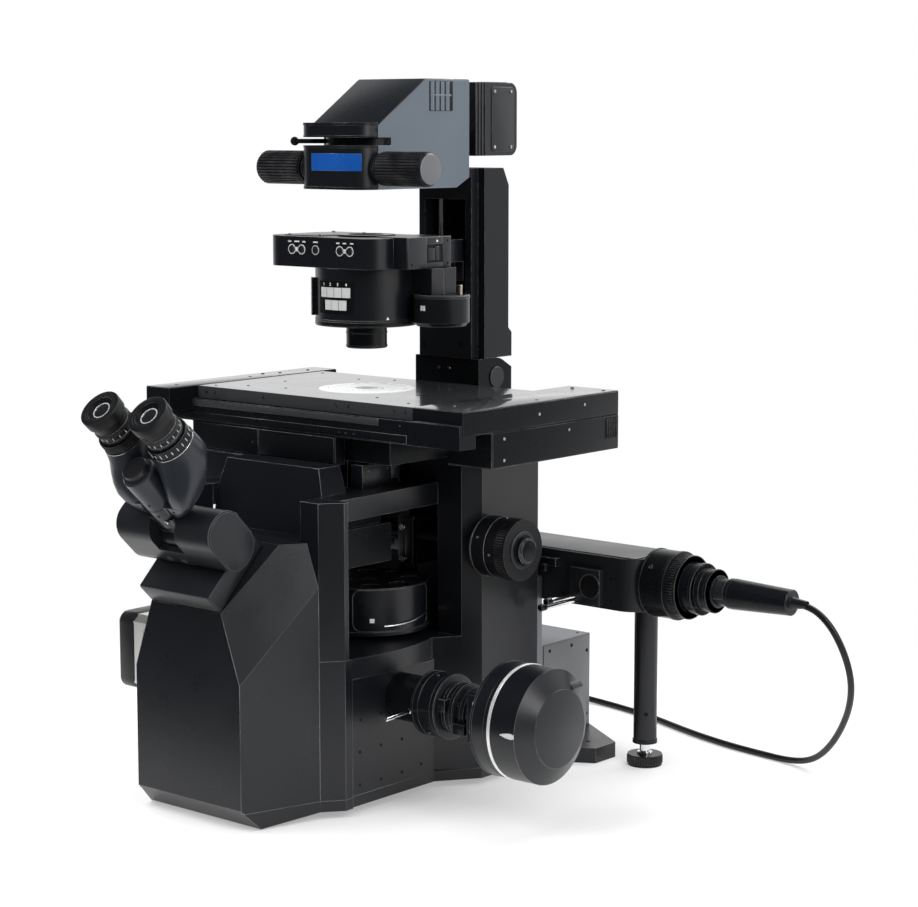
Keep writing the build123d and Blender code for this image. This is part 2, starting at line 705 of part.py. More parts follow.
def right_camera():
    half = FLANGE_HALF
    flange = block(FLANGE_X0, CAMERA_X0, PORT_Y - half, PORT_Y + half, PORT_Z - half,
                   PORT_Z + half)
    flange = chamfer(flange.edges().filter_by(Axis.X), FLANGE_CHAMFER)
    shell_len = CAMERA_X1 - CAMERA_X0 - CAMERA_RIM
    shell = rod((CAMERA_X0, PORT_Y, PORT_Z), (1, 0, 0), shell_len, CAMERA_R)
    end = rod((CAMERA_X1 - CAMERA_RIM, PORT_Y, PORT_Z), (1, 0, 0), CAMERA_RIM, CAMERA_R,
              CAMERA_R - CAMERA_CHAMFER)
    return flange + shell + end - rod((FLANGE_X0, PORT_Y, PORT_Z), (1, 0, 0), FLANGE_T, PORT_R)


def port_adaptors():
    return Part() + [right_port_adaptor(), left_port_adaptor()]


def left_port_adaptor():
    length = -SIDE_HALF - LEFT_CAMERA_X0
    neck = rod((-SIDE_HALF, PORT_Y, PORT_Z), (-1, 0, 0), length, LEFT_NECK_R)
    collar = rod((-SIDE_HALF, PORT_Y, PORT_Z), (-1, 0, 0), length / 2, LEFT_COLLAR_R)
    return neck + collar - rod((-SIDE_HALF, PORT_Y, PORT_Z), (-1, 0, 0), length, PORT_R)


def left_camera():
    half = LEFT_CAMERA_HALF
    body = block(LEFT_CAMERA_X1, LEFT_CAMERA_X0, PORT_Y - half, PORT_Y + half, PORT_Z - half, PORT_Z + half)
    return chamfer(body.edges().filter_by(Axis.X), LEFT_CAMERA_CHAMFER)


# Side illuminator

def illuminator_arm():
    middle = (ARM_Y0 + ARM_Y1) / 2
    long = block(-ARM_HALF, ARM_END, ARM_Y0, ARM_Y1, ARM_Z0, ARM_Z1)
    end_edges = long.edges().filter_by(Axis.Z).sort_by(Axis.X)[-2:]
    long = fillet(end_edges, ARM_CORNER_R)
    arm = long + block(-ARM_HALF, ARM_HALF, BACK_Y, ARM_Y0, ARM_Z0, ARM_Z1)
    arm -= rod((0, middle, LIGHT_Z), (1, 0, 0), ARM_END, ARM_LIGHT_R)
    arm -= rod((0, BACK_Y, LIGHT_Z), (0, 1, 0), middle - BACK_Y, ARM_LIGHT_R + 1)
    for x, z in SLIDER_RODS:
        arm -= rod((x, ARM_Y0 - 1, z), (0, 1, 0), SLIDER_Y1 - ARM_Y0 + 1 + SLIDER_SPARE, SLIDER_R + RUN_FIT)
    return arm


def illuminator_leg():
    leg = rod((LEG_X, LEG_Y, LEG_Z0), (0, 0, 1), ARM_Z0 - LEG_Z0, LEG_R)
    return leg - rod((LEG_X, LEG_Y, LEG_Z0), (0, 0, 1), LEVEL_STEM_LEN + 10, LEVEL_STEM_R + RUN_FIT)


def levelling_foot():
    disc = rod((LEG_X, LEG_Y, 0), (0, 0, 1), LEVEL_H, LEVEL_R)
    return disc + rod((LEG_X, LEG_Y, LEVEL_H), (0, 0, 1), LEG_Z0 - LEVEL_H + LEVEL_STEM_LEN, LEVEL_STEM_R)


def filter_slider():
    """Two pull rods of one filter slide."""
    return Part() + [rod((x, SLIDER_Y0, z), (0, 1, 0), SLIDER_Y1 - SLIDER_Y0, SLIDER_R) for x,
                     z in SLIDER_RODS]


def lamp_collimator():
    x = ARM_END
    middle = (ARM_Y0 + ARM_Y1) / 2
    parts = Part()
    for radius, length in LAMP_STEPS:
        parts += rod((x, middle, LIGHT_Z), (1, 0, 0), length, radius)
        x += length
    return parts - rod((ARM_END, middle, LIGHT_Z), (1, 0, 0), x - ARM_END, CORD_D)


def lamp_end():
    """Where the collimator ends and the light guide begins."""
    return ARM_END + sum(length for _, length in LAMP_STEPS)


def light_guide_end():
    middle = (ARM_Y0 + ARM_Y1) / 2
    start = lamp_end()
    tube = rod((start, middle, LIGHT_Z), (1, 0, 0), GUIDE_LEN, GUIDE_R)
    grip = rod((start + GUIDE_LEN, middle, LIGHT_Z), (1, 0, 0), GRIP_LEN, GRIP_R, GRIP_R - GRIP_TAPER)
    return tube + grip


def cord_points():
    """The cord's route: down from the light guide, along the table and up to its socket."""
    x = lamp_end() + GUIDE_LEN + GRIP_LEN
    middle = (ARM_Y0 + ARM_Y1) / 2
    fall = [(x + dx, middle + dy, share * LIGHT_Z) for dx, dy, share in CORD_FALL]
    back = BOX_BACK + SOCKET_LEN
    rise = [(SOCKET_X + dx, back + dy, share * SOCKET_Z) for dx, dy, share in CORD_RISE]
    return fall + list(CORD_LIE) + rise


def light_guide_cord():
    points = [Vector(*p) for p in cord_points()]
    radii = []
    for before, here, after in zip(points, points[1:], points[2:]):
        turn = radians((here - before).get_angle(after - here))
        shorter = min((here - before).length, (after - here).length)
        radii.append(0.45 * shorter / tan(turn / 2))
    path = FilletPolyline(*points, radius=radii)
    start = Plane(origin=points[0], z_dir=points[1] - points[0])
    cord = sweep(start * Circle(CORD_D / 2), path=path)
    print("cord length", round(path.length, 1))
    return cord


# Lamp pillar

def hinge_block():
    back = NECK_BACK
    reach = HINGE_R
    points = [(HINGE_FRONT, NECK_TOP), (HINGE_FRONT, HINGE_TOP)]
    for share in (0, 0.5, 1):
        angle = radians(share * TILT_MAX)
        points.append((HINGE_Y + reach * sin(angle), HINGE_Z + reach * cos(angle)))
    fall = (back - points[-1][0]) * tan(radians(TILT_MAX))
    points += [(back, points[-1][1] - fall), (back, NECK_TOP)]
    cheeks = profile_x(points, NECK_HALF)
    room = KNUCKLE_R + SLIDE_GAP
    half = KNUCKLE_HALF + SLIDE_GAP
    cheeks -= rod((-half, HINGE_Y, HINGE_Z), (1, 0, 0), 2 * half, room)
    cheeks -= block(-half, half, HINGE_Y - room, HINGE_Y, HINGE_Z, HINGE_TOP + 1)
    cheeks -= block(-half, half, HINGE_Y, back + 1, HINGE_Z - room / 2, HINGE_TOP + 1)
    cap = NECK_HALF + PIN_CAP_T
    pin = rod((-cap, HINGE_Y, HINGE_Z), (1, 0, 0), 2 * cap, PIN_R)
    caps = rod((NECK_HALF, HINGE_Y, HINGE_Z), (1, 0, 0), PIN_CAP_T, PIN_CAP_R)
    return cheeks + pin + caps + mirrored(caps)


def pillar():
    bottom = HINGE_TOP + SLIDE_GAP
    points = [(PILLAR_Y0, bottom), (PILLAR_Y1 + STEP_DEPTH, bottom),
              (PILLAR_Y1 + STEP_DEPTH, bottom + STEP_H - STEP_DEPTH),
              (PILLAR_Y1, bottom + STEP_H), (PILLAR_Y1, PILLAR_TOP - PILLAR_CHAMFER),
              (PILLAR_Y1 - PILLAR_CHAMFER / 2, PILLAR_TOP), (PILLAR_Y0, PILLAR_TOP)]
    column = profile_x(points, PILLAR_HALF)
    column += block(-PILLAR_FRONT_HALF, PILLAR_FRONT_HALF, PILLAR_FRONT, PILLAR_Y0, bottom, PILLAR_TOP)
    column += block(-PILLAR_FRONT_HALF, PILLAR_FRONT_HALF, HEAD_BACK, PILLAR_FRONT,
                    HEAD_BOTTOM + HEAD_HEEL[1], PILLAR_TOP)
    column -= block(-CHANNEL_HALF, CHANNEL_HALF, PILLAR_FRONT - 1, CHANNEL_BACK, CHANNEL_Z0, CHANNEL_Z1)
    knuckle = rod((-KNUCKLE_HALF, HINGE_Y, HINGE_Z), (1, 0, 0), 2 * KNUCKLE_HALF, KNUCKLE_R)
    knuckle += block(-KNUCKLE_HALF, KNUCKLE_HALF, HINGE_Y - KNUCKLE_R, HINGE_Y + KNUCKLE_R, HINGE_Z, bottom)
    column += knuckle
    return column - rod((-KNUCKLE_HALF, HINGE_Y, HINGE_Z), (1, 0, 0), 2 * KNUCKLE_HALF, PIN_R + RUN_FIT)


def guide_rod():
    return rod((ROD_X, ROD_Y, CHANNEL_Z0), (0, 0, 1), CHANNEL_Z1 - CHANNEL_Z0, ROD_R)


def stop_ring_room(solid):
    """Clear the turning room of the field stop ring and its lever."""
    z0, z1 = SLOT_Z0, SLOT_Z1
    solid -= rod((0, 0, z0), (0, 0, 1), z1 - z0, STOP_RING_R + SLIDE_GAP)
    return solid - block(-HEAD_HALF - 1, HEAD_HALF + 1, NOSE_FRONT - 1, SLOT_BACK, z0, z1)


def lamp_head():
    heel_y, heel_z = HEAD_HEEL
    points = [(HEAD_FRONT, HEAD_LIP_Z), (HEAD_ROOF_Y, HEAD_TOP), (HEAD_BACK, HEAD_TOP),
              (HEAD_BACK, HEAD_BOTTOM + heel_z), (HEAD_BACK - heel_y, HEAD_BOTTOM), (HEAD_FRONT, HEAD_BOTTOM)]
    head = profile_x(points, HEAD_HALF)
    head = stop_ring_room(head)
    head -= rod((0, 0, HEAD_BOTTOM - 1), (0, 0, 1), LAMP_Z - LAMP_BORE_R / 2 - HEAD_BOTTOM + 1, STOP_BORE_R)
    return head - rod((0, 0, LAMP_Z), (0, 1, 0), HEAD_BACK + 1, LAMP_BORE_R)


def field_stop_housing():
    """The rounded nose under the roof, above and below the slot for the lever."""
    nose = block(-NOSE_HALF, NOSE_HALF, NOSE_FRONT, HEAD_FRONT, HEAD_BOTTOM, NOSE_TOP)
    nose = fillet(nose.edges().filter_by(Axis.Z).sort_by(Axis.Y)[:2], NOSE_R)
    return nose - block(-HEAD_HALF, HEAD_HALF, NOSE_FRONT - 1, HEAD_FRONT, SLOT_Z0, SLOT_Z1)


def field_stop_lever():
    """An iris ring with a ball-ended lever."""
    z0, z1 = SLOT_Z0 + SLIDE_GAP, SLOT_Z1 - SLIDE_GAP
    z = (z0 + z1) / 2
    ring = rod((0, 0, z0), (0, 0, 1), z1 - z0, STOP_RING_R) - rod((0, 0, z0), (0, 0, 1), z1 - z0, STOP_BORE_R)
    way = (cos(radians(LEVER_ANGLE)), sin(radians(LEVER_ANGLE)), 0)
    start = (way[0] * (STOP_RING_R - 2), way[1] * (STOP_RING_R - 2), z)
    lever = rod(start, way, LEVER_LEN - STOP_RING_R + 2, LEVER_R)
    return ring + lever + Pos(way[0] * LEVER_LEN, way[1] * LEVER_LEN, z) * Sphere(LEVER_BALL_R)


def head_grips():
    neck = rod((HEAD_HALF, GRIP_Y, GRIP_Z), (1, 0, 0), HANDLE_NECK, HANDLE_R - 3)
    grip = rod((HEAD_HALF + HANDLE_NECK, GRIP_Y, GRIP_Z), (1, 0, 0), HANDLE_END - HEAD_HALF - HANDLE_NECK,
               HANDLE_R)
    grip = chamfer(grip.edges().sort_by(Axis.X)[-1:], 2)
    side = neck + grip
    return Part() + [side, mirrored(side)]


def lamp_housing():
    tube = rod((0, HEAD_BACK, LAMP_Z), (0, 1, 0), FIN_Y0 - HEAD_BACK, LAMP_TUBE_R)
    shell = Part() + tube
    for i in range(FIN_COUNT):
        y = FIN_Y0 + i * FIN_PITCH
        shell += block(-LAMP_HALF, LAMP_HALF, y, y + FIN_T, LAMP_BOTTOM, LAMP_TOP)
        shell += rod((0, y, LAMP_Z), (0, 1, 0), FIN_PITCH, LAMP_TUBE_R)
    y = FIN_Y0 + FIN_COUNT * FIN_PITCH
    case = block(-LAMP_HALF, LAMP_HALF, y, LAMP_Y1, LAMP_BOTTOM, LAMP_TOP)
    case = fillet(case.edges().filter_by(Axis.X).sort_by(Axis.Y)[-2:], NOSE_R / 2)
    case -= block(-LAMP_HALF + LAMP_WALL, LAMP_HALF - LAMP_WALL, y + LAMP_WALL, LAMP_Y1 - LAMP_WALL,
                  LAMP_BOTTOM + LAMP_WALL, LAMP_TOP - LAMP_WALL)
    shell += case
    return shell - rod((0, HEAD_BACK, LAMP_Z), (0, 1, 0), y - HEAD_BACK + LAMP_WALL, STOP_BORE_R)


def led_source():
    y = FIN_Y0 + FIN_COUNT * FIN_PITCH + LAMP_WALL
    board = block(-LED_R - 4, LED_R + 4, y, y + 4, LAMP_Z - LED_R, LAMP_Z + LED_R)
    return board + rod((0, y, LAMP_Z), (0, -1, 0), LAMP_WALL, STOP_BORE_R - 2)


# Condenser

def condenser_carrier():
    z_mid = (CARRIER_Z0 + CARRIER_Z1) / 2
    block_in_channel = block(ROD_X - ROD_R - 4, CARRIER_HALF, PILLAR_FRONT + 2, CARRIER_BACK, CARRIER_Z0,
                             CARRIER_Z1)
    arm = block(-CARRIER_HALF + 4, CARRIER_HALF, COND_HALF_Y, PILLAR_FRONT + 4, COND_Z0, CARRIER_Z1)
    web = block(-COND_CORNER_R / 2, COND_CORNER_R / 2, HOUSING_R + 1, PILLAR_FRONT + 4, z_mid - WEB_DROP,
                COND_Z0)
    return block_in_channel + arm + web - rod((ROD_X, ROD_Y, CARRIER_Z0), (0, 0, 1),
                                              CARRIER_Z1 - CARRIER_Z0, ROD_R + RUN_FIT)


def condenser_top():
    top = rounded_plan(COND_LEFT, COND_RIGHT, -COND_HALF_Y, COND_HALF_Y, COND_Z0, COND_Z1, COND_CORNER_R)
    right, y0, y1 = SIDE_BOX
    top += block(COND_RIGHT - COND_CORNER_R, right, y0, y1, COND_Z0, COND_Z1 + 1)
    drum_top = DRUM_Z1 + SLIDE_GAP
    top += block(HOUSING_R + 1.5, right + 8, DRUM_Y - LOWER_BOX_FRONT, y1, drum_top, COND_Z0)
    top -= rod((DRUM_X, DRUM_Y, drum_top), (0, 0, 1), COND_Z0 - drum_top, DRUM_SPINDLE_R + RUN_FIT)
    top -= rod((0, 0, COND_Z0), (0, 0, 1), COND_Z1 - COND_Z0, STOP_BORE_R)
    for x in BUTTON_X:
        depth = BUTTON_DEPTH + BUTTON_TRAVEL
        top -= rod((x, -COND_HALF_Y, BUTTON_Z), (0, 1, 0), depth, BUTTON_R + RUN_FIT)
    return top


def condenser_housing():
    shell = rod((0, 0, HOUSING_Z0), (0, 0, 1), COND_Z0 - HOUSING_Z0, HOUSING_R)
    shell -= rod((0, 0, HOUSING_Z0 + HOUSING_T), (0, 0, 1), COND_Z0 - HOUSING_Z0 - 2 * HOUSING_T,
                 HOUSING_R - HOUSING_T)
    shell -= rod((0, 0, HOUSING_Z0), (0, 0, 1), COND_Z0 - HOUSING_Z0, TURRET_HOLE_R)
    return shell + rod((0, TURRET_OFFSET, HOUSING_Z0 + HOUSING_T), (0, 0, 1), TURRET_T + 8, TURRET_POST_R)


def condenser_turret():
    z = HOUSING_Z0 + HOUSING_T + SLIDE_GAP
    disc = rod((0, TURRET_OFFSET, z), (0, 0, 1), TURRET_T, TURRET_R)
    disc -= rod((0, TURRET_OFFSET, z), (0, 0, 1), TURRET_T, TURRET_POST_R + RUN_FIT)
    for i in range(TURRET_HOLES):
        angle = -pi / 2 + i * 2 * pi / TURRET_HOLES
        x, y = TURRET_OFFSET * cos(angle), TURRET_OFFSET * (1 + sin(angle))
        disc -= rod((x, y, z), (0, 0, 1), TURRET_T, TURRET_HOLE_R)
    return disc


def condenser_lens():
    barrel = rod((0, 0, LENS_Z0), (0, 0, 1), HOUSING_Z0 - LENS_Z0, LENS_R)
    return chamfer(barrel.edges().sort_by(Axis.Z)[:1], 2)


def polariser_drum():
    drum = rod((DRUM_X, DRUM_Y, DRUM_Z0), (0, 0, 1), DRUM_Z1 - DRUM_Z0, DRUM_R)
    drum = chamfer(drum.edges().sort_by(Axis.Z)[:1], 4)
    drum += rod((DRUM_X, DRUM_Y, DRUM_Z1), (0, 0, 1), COND_Z0 - DRUM_Z1 - 2, DRUM_SPINDLE_R)
    reach = DRUM_R - DRUM_POST_R - 2
    post = rod((DRUM_X + reach, DRUM_Y, DRUM_Z1), (0, 0, 1), DRUM_POST_H, DRUM_POST_R)
    return drum + post


def button(i):
    length = BUTTON_DEPTH + BUTTON_PROUD
    key = rod((BUTTON_X[i], -COND_HALF_Y - BUTTON_PROUD, BUTTON_Z), (0, 1, 0), length, BUTTON_R)
    return chamfer(key.edges().sort_by(Axis.Y)[:1], 0.4)


# Stage

def stage_base():
    front = OPEN_FRONT - COLUMN_T
    base = block(-STAGE_BASE_HALF, STAGE_BASE_HALF, front, STAGE_BASE_BACK, TOWER_TOP, STAGE_BASE_TOP)
    base -= block(-STAGE_OPEN_HALF, STAGE_OPEN_HALF, STAGE_OPEN_FRONT, OPEN_BACK, TOWER_TOP, STAGE_BASE_TOP)
    return base


def stage_carriage():
    z0 = STAGE_BASE_TOP + SLIDE_GAP
    bar_top = STAGE_TOP - PLATE_T - SLIDE_GAP
    frame = block(FLANGE_LEFT, PLATE_LEFT, *FLANGE_Y, BLOCK_BOTTOM, STAGE_TOP)
    frame += block(PLATE_RIGHT, BLOCK_RIGHT, *BLOCK_Y, BLOCK_BOTTOM, STAGE_TOP)
    frame += block(MOTOR_X0, BLOCK_RIGHT, *MOTOR_Y, MOTOR_BOTTOM, BLOCK_BOTTOM)
    for y0, y1 in ((BAR_FRONT, BAR_FRONT + BAR_T), REAR_BAR_Y):
        frame += block(FLANGE_LEFT, BLOCK_RIGHT, y0, y1, z0, bar_top)
    for x0, x1 in ((PLATE_LEFT - 1, PLATE_LEFT + LEDGE), (PLATE_RIGHT - LEDGE, PLATE_RIGHT + 1)):
        frame += block(x0, x1, BAR_FRONT, REAR_BAR_Y[1], BLOCK_BOTTOM, bar_top)
    return frame + block(*APRON, BAR_FRONT, BAR_FRONT + APRON_T, APRON_Z0, z0)


def stage_plate():
    z0 = STAGE_TOP - PLATE_T
    plate = block(PLATE_LEFT + SLIDE_GAP, PLATE_RIGHT - SLIDE_GAP, PLATE_FRONT, PLATE_BACK, z0, STAGE_TOP)
    plate -= rod((0, 0, STAGE_TOP - INSERT_T), (0, 0, 1), INSERT_T, INSERT_R + SEAT_GAP)
    return plate - rod((0, 0, z0), (0, 0, 1), PLATE_T, INSERT_R - INSERT_LEDGE)


def stage_insert():
    ring = rod((0, 0, STAGE_TOP - INSERT_T), (0, 0, 1), INSERT_T, INSERT_R)
    return ring - rod((0, 0, STAGE_TOP - INSERT_T), (0, 0, 1), INSERT_T, INSERT_HOLE_R)


# Focus

CONE_LEN = SEAT_R / sin(radians(CONE))
APEX = (0.0, 0.0, SEAT_Z - CONE_LEN)
TURN_AXIS = (0.0, sin(radians(CONE)), cos(radians(CONE)))
DISC_TOP = CONE_LEN * cos(radians(CONE)) - NOSEPIECE_DROP


def on_turn_axis(distance):
    """A point on the nosepiece's own axis."""
    return tuple(a + d * distance for a, d in zip(APEX, TURN_AXIS))


def objective_bars(radius, start, end, end_radius=None):
    """One bar along each objective's axis, around the nosepiece."""
    first = rod((0, 0, APEX[2] + start), (0, 0, 1), end - start, radius, end_radius)
    axis = Axis(APEX, TURN_AXIS)
    return [first.rotate(axis, i * 360 / OBJECTIVES) for i in range(OBJECTIVES)]


def nosepiece():
    disc = rod(on_turn_axis(DISC_TOP - NOSEPIECE_T), TURN_AXIS, NOSEPIECE_T, NOSEPIECE_R)
    disc = chamfer(disc.edges().sort_by(Axis.Z)[-1:], 4)
    for boss in objective_bars(OBJECTIVE_R, CONE_LEN - NOSEPIECE_T / 2, CONE_LEN):
        disc += boss
    for hole in objective_bars(OBJECTIVE_BORE_R, CONE_LEN - 2 * NOSEPIECE_T, CONE_LEN + 1):
        disc -= hole
    hole = rod(on_turn_axis(DISC_TOP - NOSEPIECE_T), TURN_AXIS, NOSEPIECE_T + 1, SPINDLE_R + RUN_FIT)
    return disc - hole


def objectives():
    barrels = objective_bars(OBJECTIVE_R, CONE_LEN, CONE_LEN + OBJECTIVE_STEP)
    noses = objective_bars(OBJECTIVE_R - 1, CONE_LEN + OBJECTIVE_STEP, CONE_LEN + OBJECTIVE_LEN,
                           OBJECTIVE_TIP_R)
    return Part() + [barrel + nose for barrel, nose in zip(barrels, noses)]


def nosepiece_lift():
    back = NICHE_BACK - RAIL_T - SLIDE_GAP
    slide = block(-SLIDE_HALF, SLIDE_HALF, back - SLIDE_T, back, SLIDE_Z0, LIFT_Z1)
    arm = block(-LIFT_HALF, LIFT_HALF, LIFT_FRONT, back, LIFT_Z0, LIFT_Z1)
    under = DISC_TOP - NOSEPIECE_T - SLIDE_GAP
    start = (LIFT_Z0 + 4 - APEX[2]) / TURN_AXIS[2]
    boss = rod(on_turn_axis(start), TURN_AXIS, under - start, BOSS_R)
    spindle = rod(on_turn_axis(under), TURN_AXIS, NOSEPIECE_T, SPINDLE_R)
    lift = slide + arm + keep_below(boss, (0, 0, LIFT_Z0), (0, 0, -1)) + spindle
    return lift - rod((0, 0, LIFT_Z0 - 1), (0, 0, 1), SEAT_Z - LIFT_Z0, LIGHT_R - 2)


def focus_rail():
    return block(-RAIL_HALF, RAIL_HALF, NICHE_BACK - RAIL_T, NICHE_BACK, RAIL_Z0, RAIL_Z1)


def coarse_knob():
    face = WING_HALF + SLIDE_GAP
    end = face + KNOB_LEN
    right = rod((face, KNOB_Y, KNOB_Z), (1, 0, 0), KNOB_COLLAR_LEN, KNOB_COLLAR_R)
    right += rod((face + KNOB_COLLAR_LEN, KNOB_Y, KNOB_Z), (1, 0, 0), KNOB_LEN - KNOB_COLLAR_LEN, KNOB_R)
    shaft = rod((-face, KNOB_Y, KNOB_Z), (1, 0, 0), 2 * face, KNOB_SHAFT_R)
    knobs = right + mirrored(right) + shaft
    return knobs - rod((end - FINE_SPINDLE_LEN, KNOB_Y, KNOB_Z), (1, 0, 0), FINE_SPINDLE_LEN,
                       FINE_SPINDLE_R + RUN_FIT)


def fine_knob():
    end = WING_HALF + SLIDE_GAP + KNOB_LEN
    cap = rod((end + SLIDE_GAP, KNOB_Y, KNOB_Z), (1, 0, 0), FINE_LEN, FINE_R)
    cap = chamfer(cap.edges().sort_by(Axis.X)[-1:], 1.5)
    return cap + rod((end - FINE_SPINDLE_LEN + 2, KNOB_Y, KNOB_Z), (1, 0, 0), FINE_SPINDLE_LEN,
                     FINE_SPINDLE_R)


# Bay

def mirror_turret():
    reach = sqrt(MIRROR_X**2 + MIRROR_Y**2)
    height = MIRROR_Z1 - MIRROR_Z0
    drum = rod((MIRROR_X, MIRROR_Y, MIRROR_Z0), (0, 0, 1), height, MIRROR_R)
    drum += rod((MIRROR_X, MIRROR_Y, DECK_Z + SLIDE_GAP), (0, 0, 1), MIRROR_Z0 - DECK_Z, 2 * MIRROR_POST_R)
    drum -= rod((MIRROR_X, MIRROR_Y, DECK_Z), (0, 0, 1), MIRROR_Z1, MIRROR_POST_R + RUN_FIT)
    for i in range(CUBES):
        angle = 3 * pi / 4 + i * 2 * pi / CUBES
        way = (cos(angle), sin(angle), 0)
        x, y = MIRROR_X + reach * way[0], MIRROR_Y + reach * way[1]
        drum -= rod((x, y, MIRROR_Z0 - 1), (0, 0, 1), height + 2, CUBE_R)
        drum -= rod((x, y, (MIRROR_Z0 + MIRROR_Z1) / 2), way, MIRROR_R, CUBE_R)
    return drum


def analyser_module():
    x0, x1 = MODULE_X
    z0, z1 = MODULE_Z
    case = block(x0, x1, UPPER_SEAT, MODULE_BACK, z0, z1)
    return case + block(x0 + MODULE_NECK, x1 - MODULE_NECK, UPPER_SEAT, MODULE_BACK - MODULE_NECK, z1,
                        ROOF_Z0)


# Observation tube

def tube_profile(points, half):
    """An outline in the tube's (s, n) plane, as wide as twice its half width."""
    plane = Plane(origin=tube_plane(-half, 0, 0).origin, x_dir=ALONG, z_dir=(1, 0, 0))
    return extrude(plane * make_face(Polyline(*points, close=True)), amount=2 * half)


def tube_base():
    """The seat block and the drum that the eyepieces tilt in."""
    base = tube_block(-TUBE_HALF, TUBE_HALF, 0, SEAT_LEN, 0, TUBE_N) + tube_profile(DRUM_OUTLINE, DRUM_HALF)
    half = WINDOW_HALF + SLIDE_GAP
    base -= tube_cross_bar(TILT_S, TILT_N, half, TILT_BARREL_R + SLIDE_GAP)
    base -= tube_block(-half, half, 0, SEAT_LEN, TILT_N, DRUM_TOP + 1)
    return base + tube_cross_bar(TILT_S, TILT_N, half + 1, TILT_PIN_R)


def binocular_body():
    """The tilting head with the pivot for the two eyepiece tubes."""
    stalk = tube_cross_bar(TILT_S, TILT_N, WINDOW_HALF, TILT_BARREL_R)
    stalk += tube_block(-WINDOW_HALF, WINDOW_HALF, TILT_S - STALK_HALF, TILT_S + STALK_HALF, TILT_N,
                        DRUM_TOP + 8)
    low_half, low_n = HEAD_LOW
    high_half, top = HEAD_HIGH
    head = tube_block(-high_half, high_half, HEAD_S0, EYE_S, low_n - WALL, top)
    head = keep_below(head, (0, HEAD_PLANE, 0), (0, 1, 0))
    for side in (-1, 1):
        slope = Vector(side * (top - low_n), 0, 0) - Vector(*AWAY) * (high_half - low_half)
        head = keep_below(head, tube_plane(side * high_half, 0, top).origin, tuple(slope))
    head -= tube_cross_bar(TILT_S, TILT_N, DRUM_HALF, TILT_ROOM_R)
    stalk += head
    stalk += tube_bar(0, PIVOT_S, top, PIVOT_TOP, PIVOT_R)
    stalk += tube_bar(0, PIVOT_S, PIVOT_TOP, PIVOT_TOP + PIVOT_CAP_T, PIVOT_CAP_R)
    return stalk - tube_cross_bar(TILT_S, TILT_N, WINDOW_HALF, TILT_PIN_R + RUN_FIT)


def eyepiece_tube(side):
    """One swinging half with its barrel, on its own knuckle of the pivot."""
    low = HEAD_HIGH[1]
    level = (PIVOT_TOP - low) / 2
    start = low + SLIDE_GAP + (0 if side > 0 else level)
    length = level - 2 * SLIDE_GAP
    x = side * EYE_HALF
    outline = [(side * cx, cs) for cx, cs in CHEEK_OUTLINE]
    cheek_plane = tube_plane(0, 0, low + SLIDE_GAP)
    cheek = extrude(cheek_plane * make_face(Polyline(*outline, close=True)), amount=2 * level - 3 * SLIDE_GAP)
    half = cheek + tube_bar(x, EYE_S, low + SLIDE_GAP, BARREL_TOP, BARREL_R)
    half = keep_below(half, (0, HEAD_PLANE, 0), (0, 1, 0))
    half += tube_bar(0, PIVOT_S, start, start + length, KNUCKLE_OUT_R)
    inner, outer = sorted((side * PIVOT_R, side * (CHEEK_OUTLINE[0][0] + 1)))
    half += tube_block(inner, outer, PIVOT_S - PIVOT_R, PIVOT_S + PIVOT_R, start, start + length)
    half -= tube_bar(0, PIVOT_S, start - 1, start + length + 1, PIVOT_R + RUN_FIT)
    return half - tube_bar(x, EYE_S, BARREL_TOP - DIOPTRE_LEN, BARREL_TOP, EYEPIECE_BARREL_R + SEAT_GAP)


def eyepiece(side):
    """A plug-in eyepiece with its soft eyecup."""
    x = side * EYE_HALF
    n = BARREL_TOP
    z_ring = n + DIOPTRE_LEN + SLIDE_GAP
    z_cup = z_ring + EYEPIECE_RING_LEN
    body = tube_bar(x, EYE_S, n - DIOPTRE_LEN, z_ring, EYEPIECE_BARREL_R)
    if side < 0:
        body += tube_bar(x, EYE_S, n, z_ring, DIOPTRE_R)
    body += tube_bar(x, EYE_S, z_ring, z_cup, EYEPIECE_RING_R)
    body += tube_bar(x, EYE_S, z_cup, z_cup + EYECUP_LEN, EYECUP_R - EYECUP_TAPER, EYECUP_R)
    return body - tube_bar(x, EYE_S, z_cup + EYECUP_LEN - EYE_LENS_DEPTH, z_cup + EYECUP_LEN, EYE_LENS_R,
                           EYE_LENS_R + 4)


def dioptre_ring():
    n = BARREL_TOP + SLIDE_GAP
    ring = tube_bar(EYE_HALF, EYE_S, n, n + DIOPTRE_LEN - SLIDE_GAP, DIOPTRE_R)
    return ring - tube_bar(EYE_HALF, EYE_S, n, n + DIOPTRE_LEN, EYEPIECE_BARREL_R + RUN_FIT)


def nodes():
    """Every piece by its node's name, about the optical axis."""
    makers = [base_plate, rubber_feet, frame_casting, front_post, front_cover, upper_front_cover, side_panels,
              relay_prism,
              focus_rail, analyser_module, rear_box, rear_foot, cord_socket, illuminator_arm, illuminator_leg,
              levelling_foot, filter_slider, lamp_collimator, light_guide_end, light_guide_cord, hinge_block,
              pillar, guide_rod, lamp_head, field_stop_housing, field_stop_lever, head_grips, lamp_housing,
              led_source, condenser_carrier, condenser_top, condenser_housing, condenser_lens,
              condenser_turret,
              polariser_drum, stage_base, stage_carriage, stage_plate, stage_insert, nosepiece_lift,
              nosepiece,
              objectives, coarse_knob, fine_knob, mirror_turret, tube_base, binocular_body, dioptre_ring,
              port_adaptors, right_camera, left_camera]
    made = {maker.__name__: maker() for maker in makers}
    for i in range(len(BUTTON_X)):
        made[f"button_{i + 1}"] = button(i)
    for side, name in ((-1, "left"), (1, "right")):
        made[f"eyepiece_tube_{name}"] = eyepiece_tube(side)
        made[f"eyepiece_{name}"] = eyepiece(side)
    return made


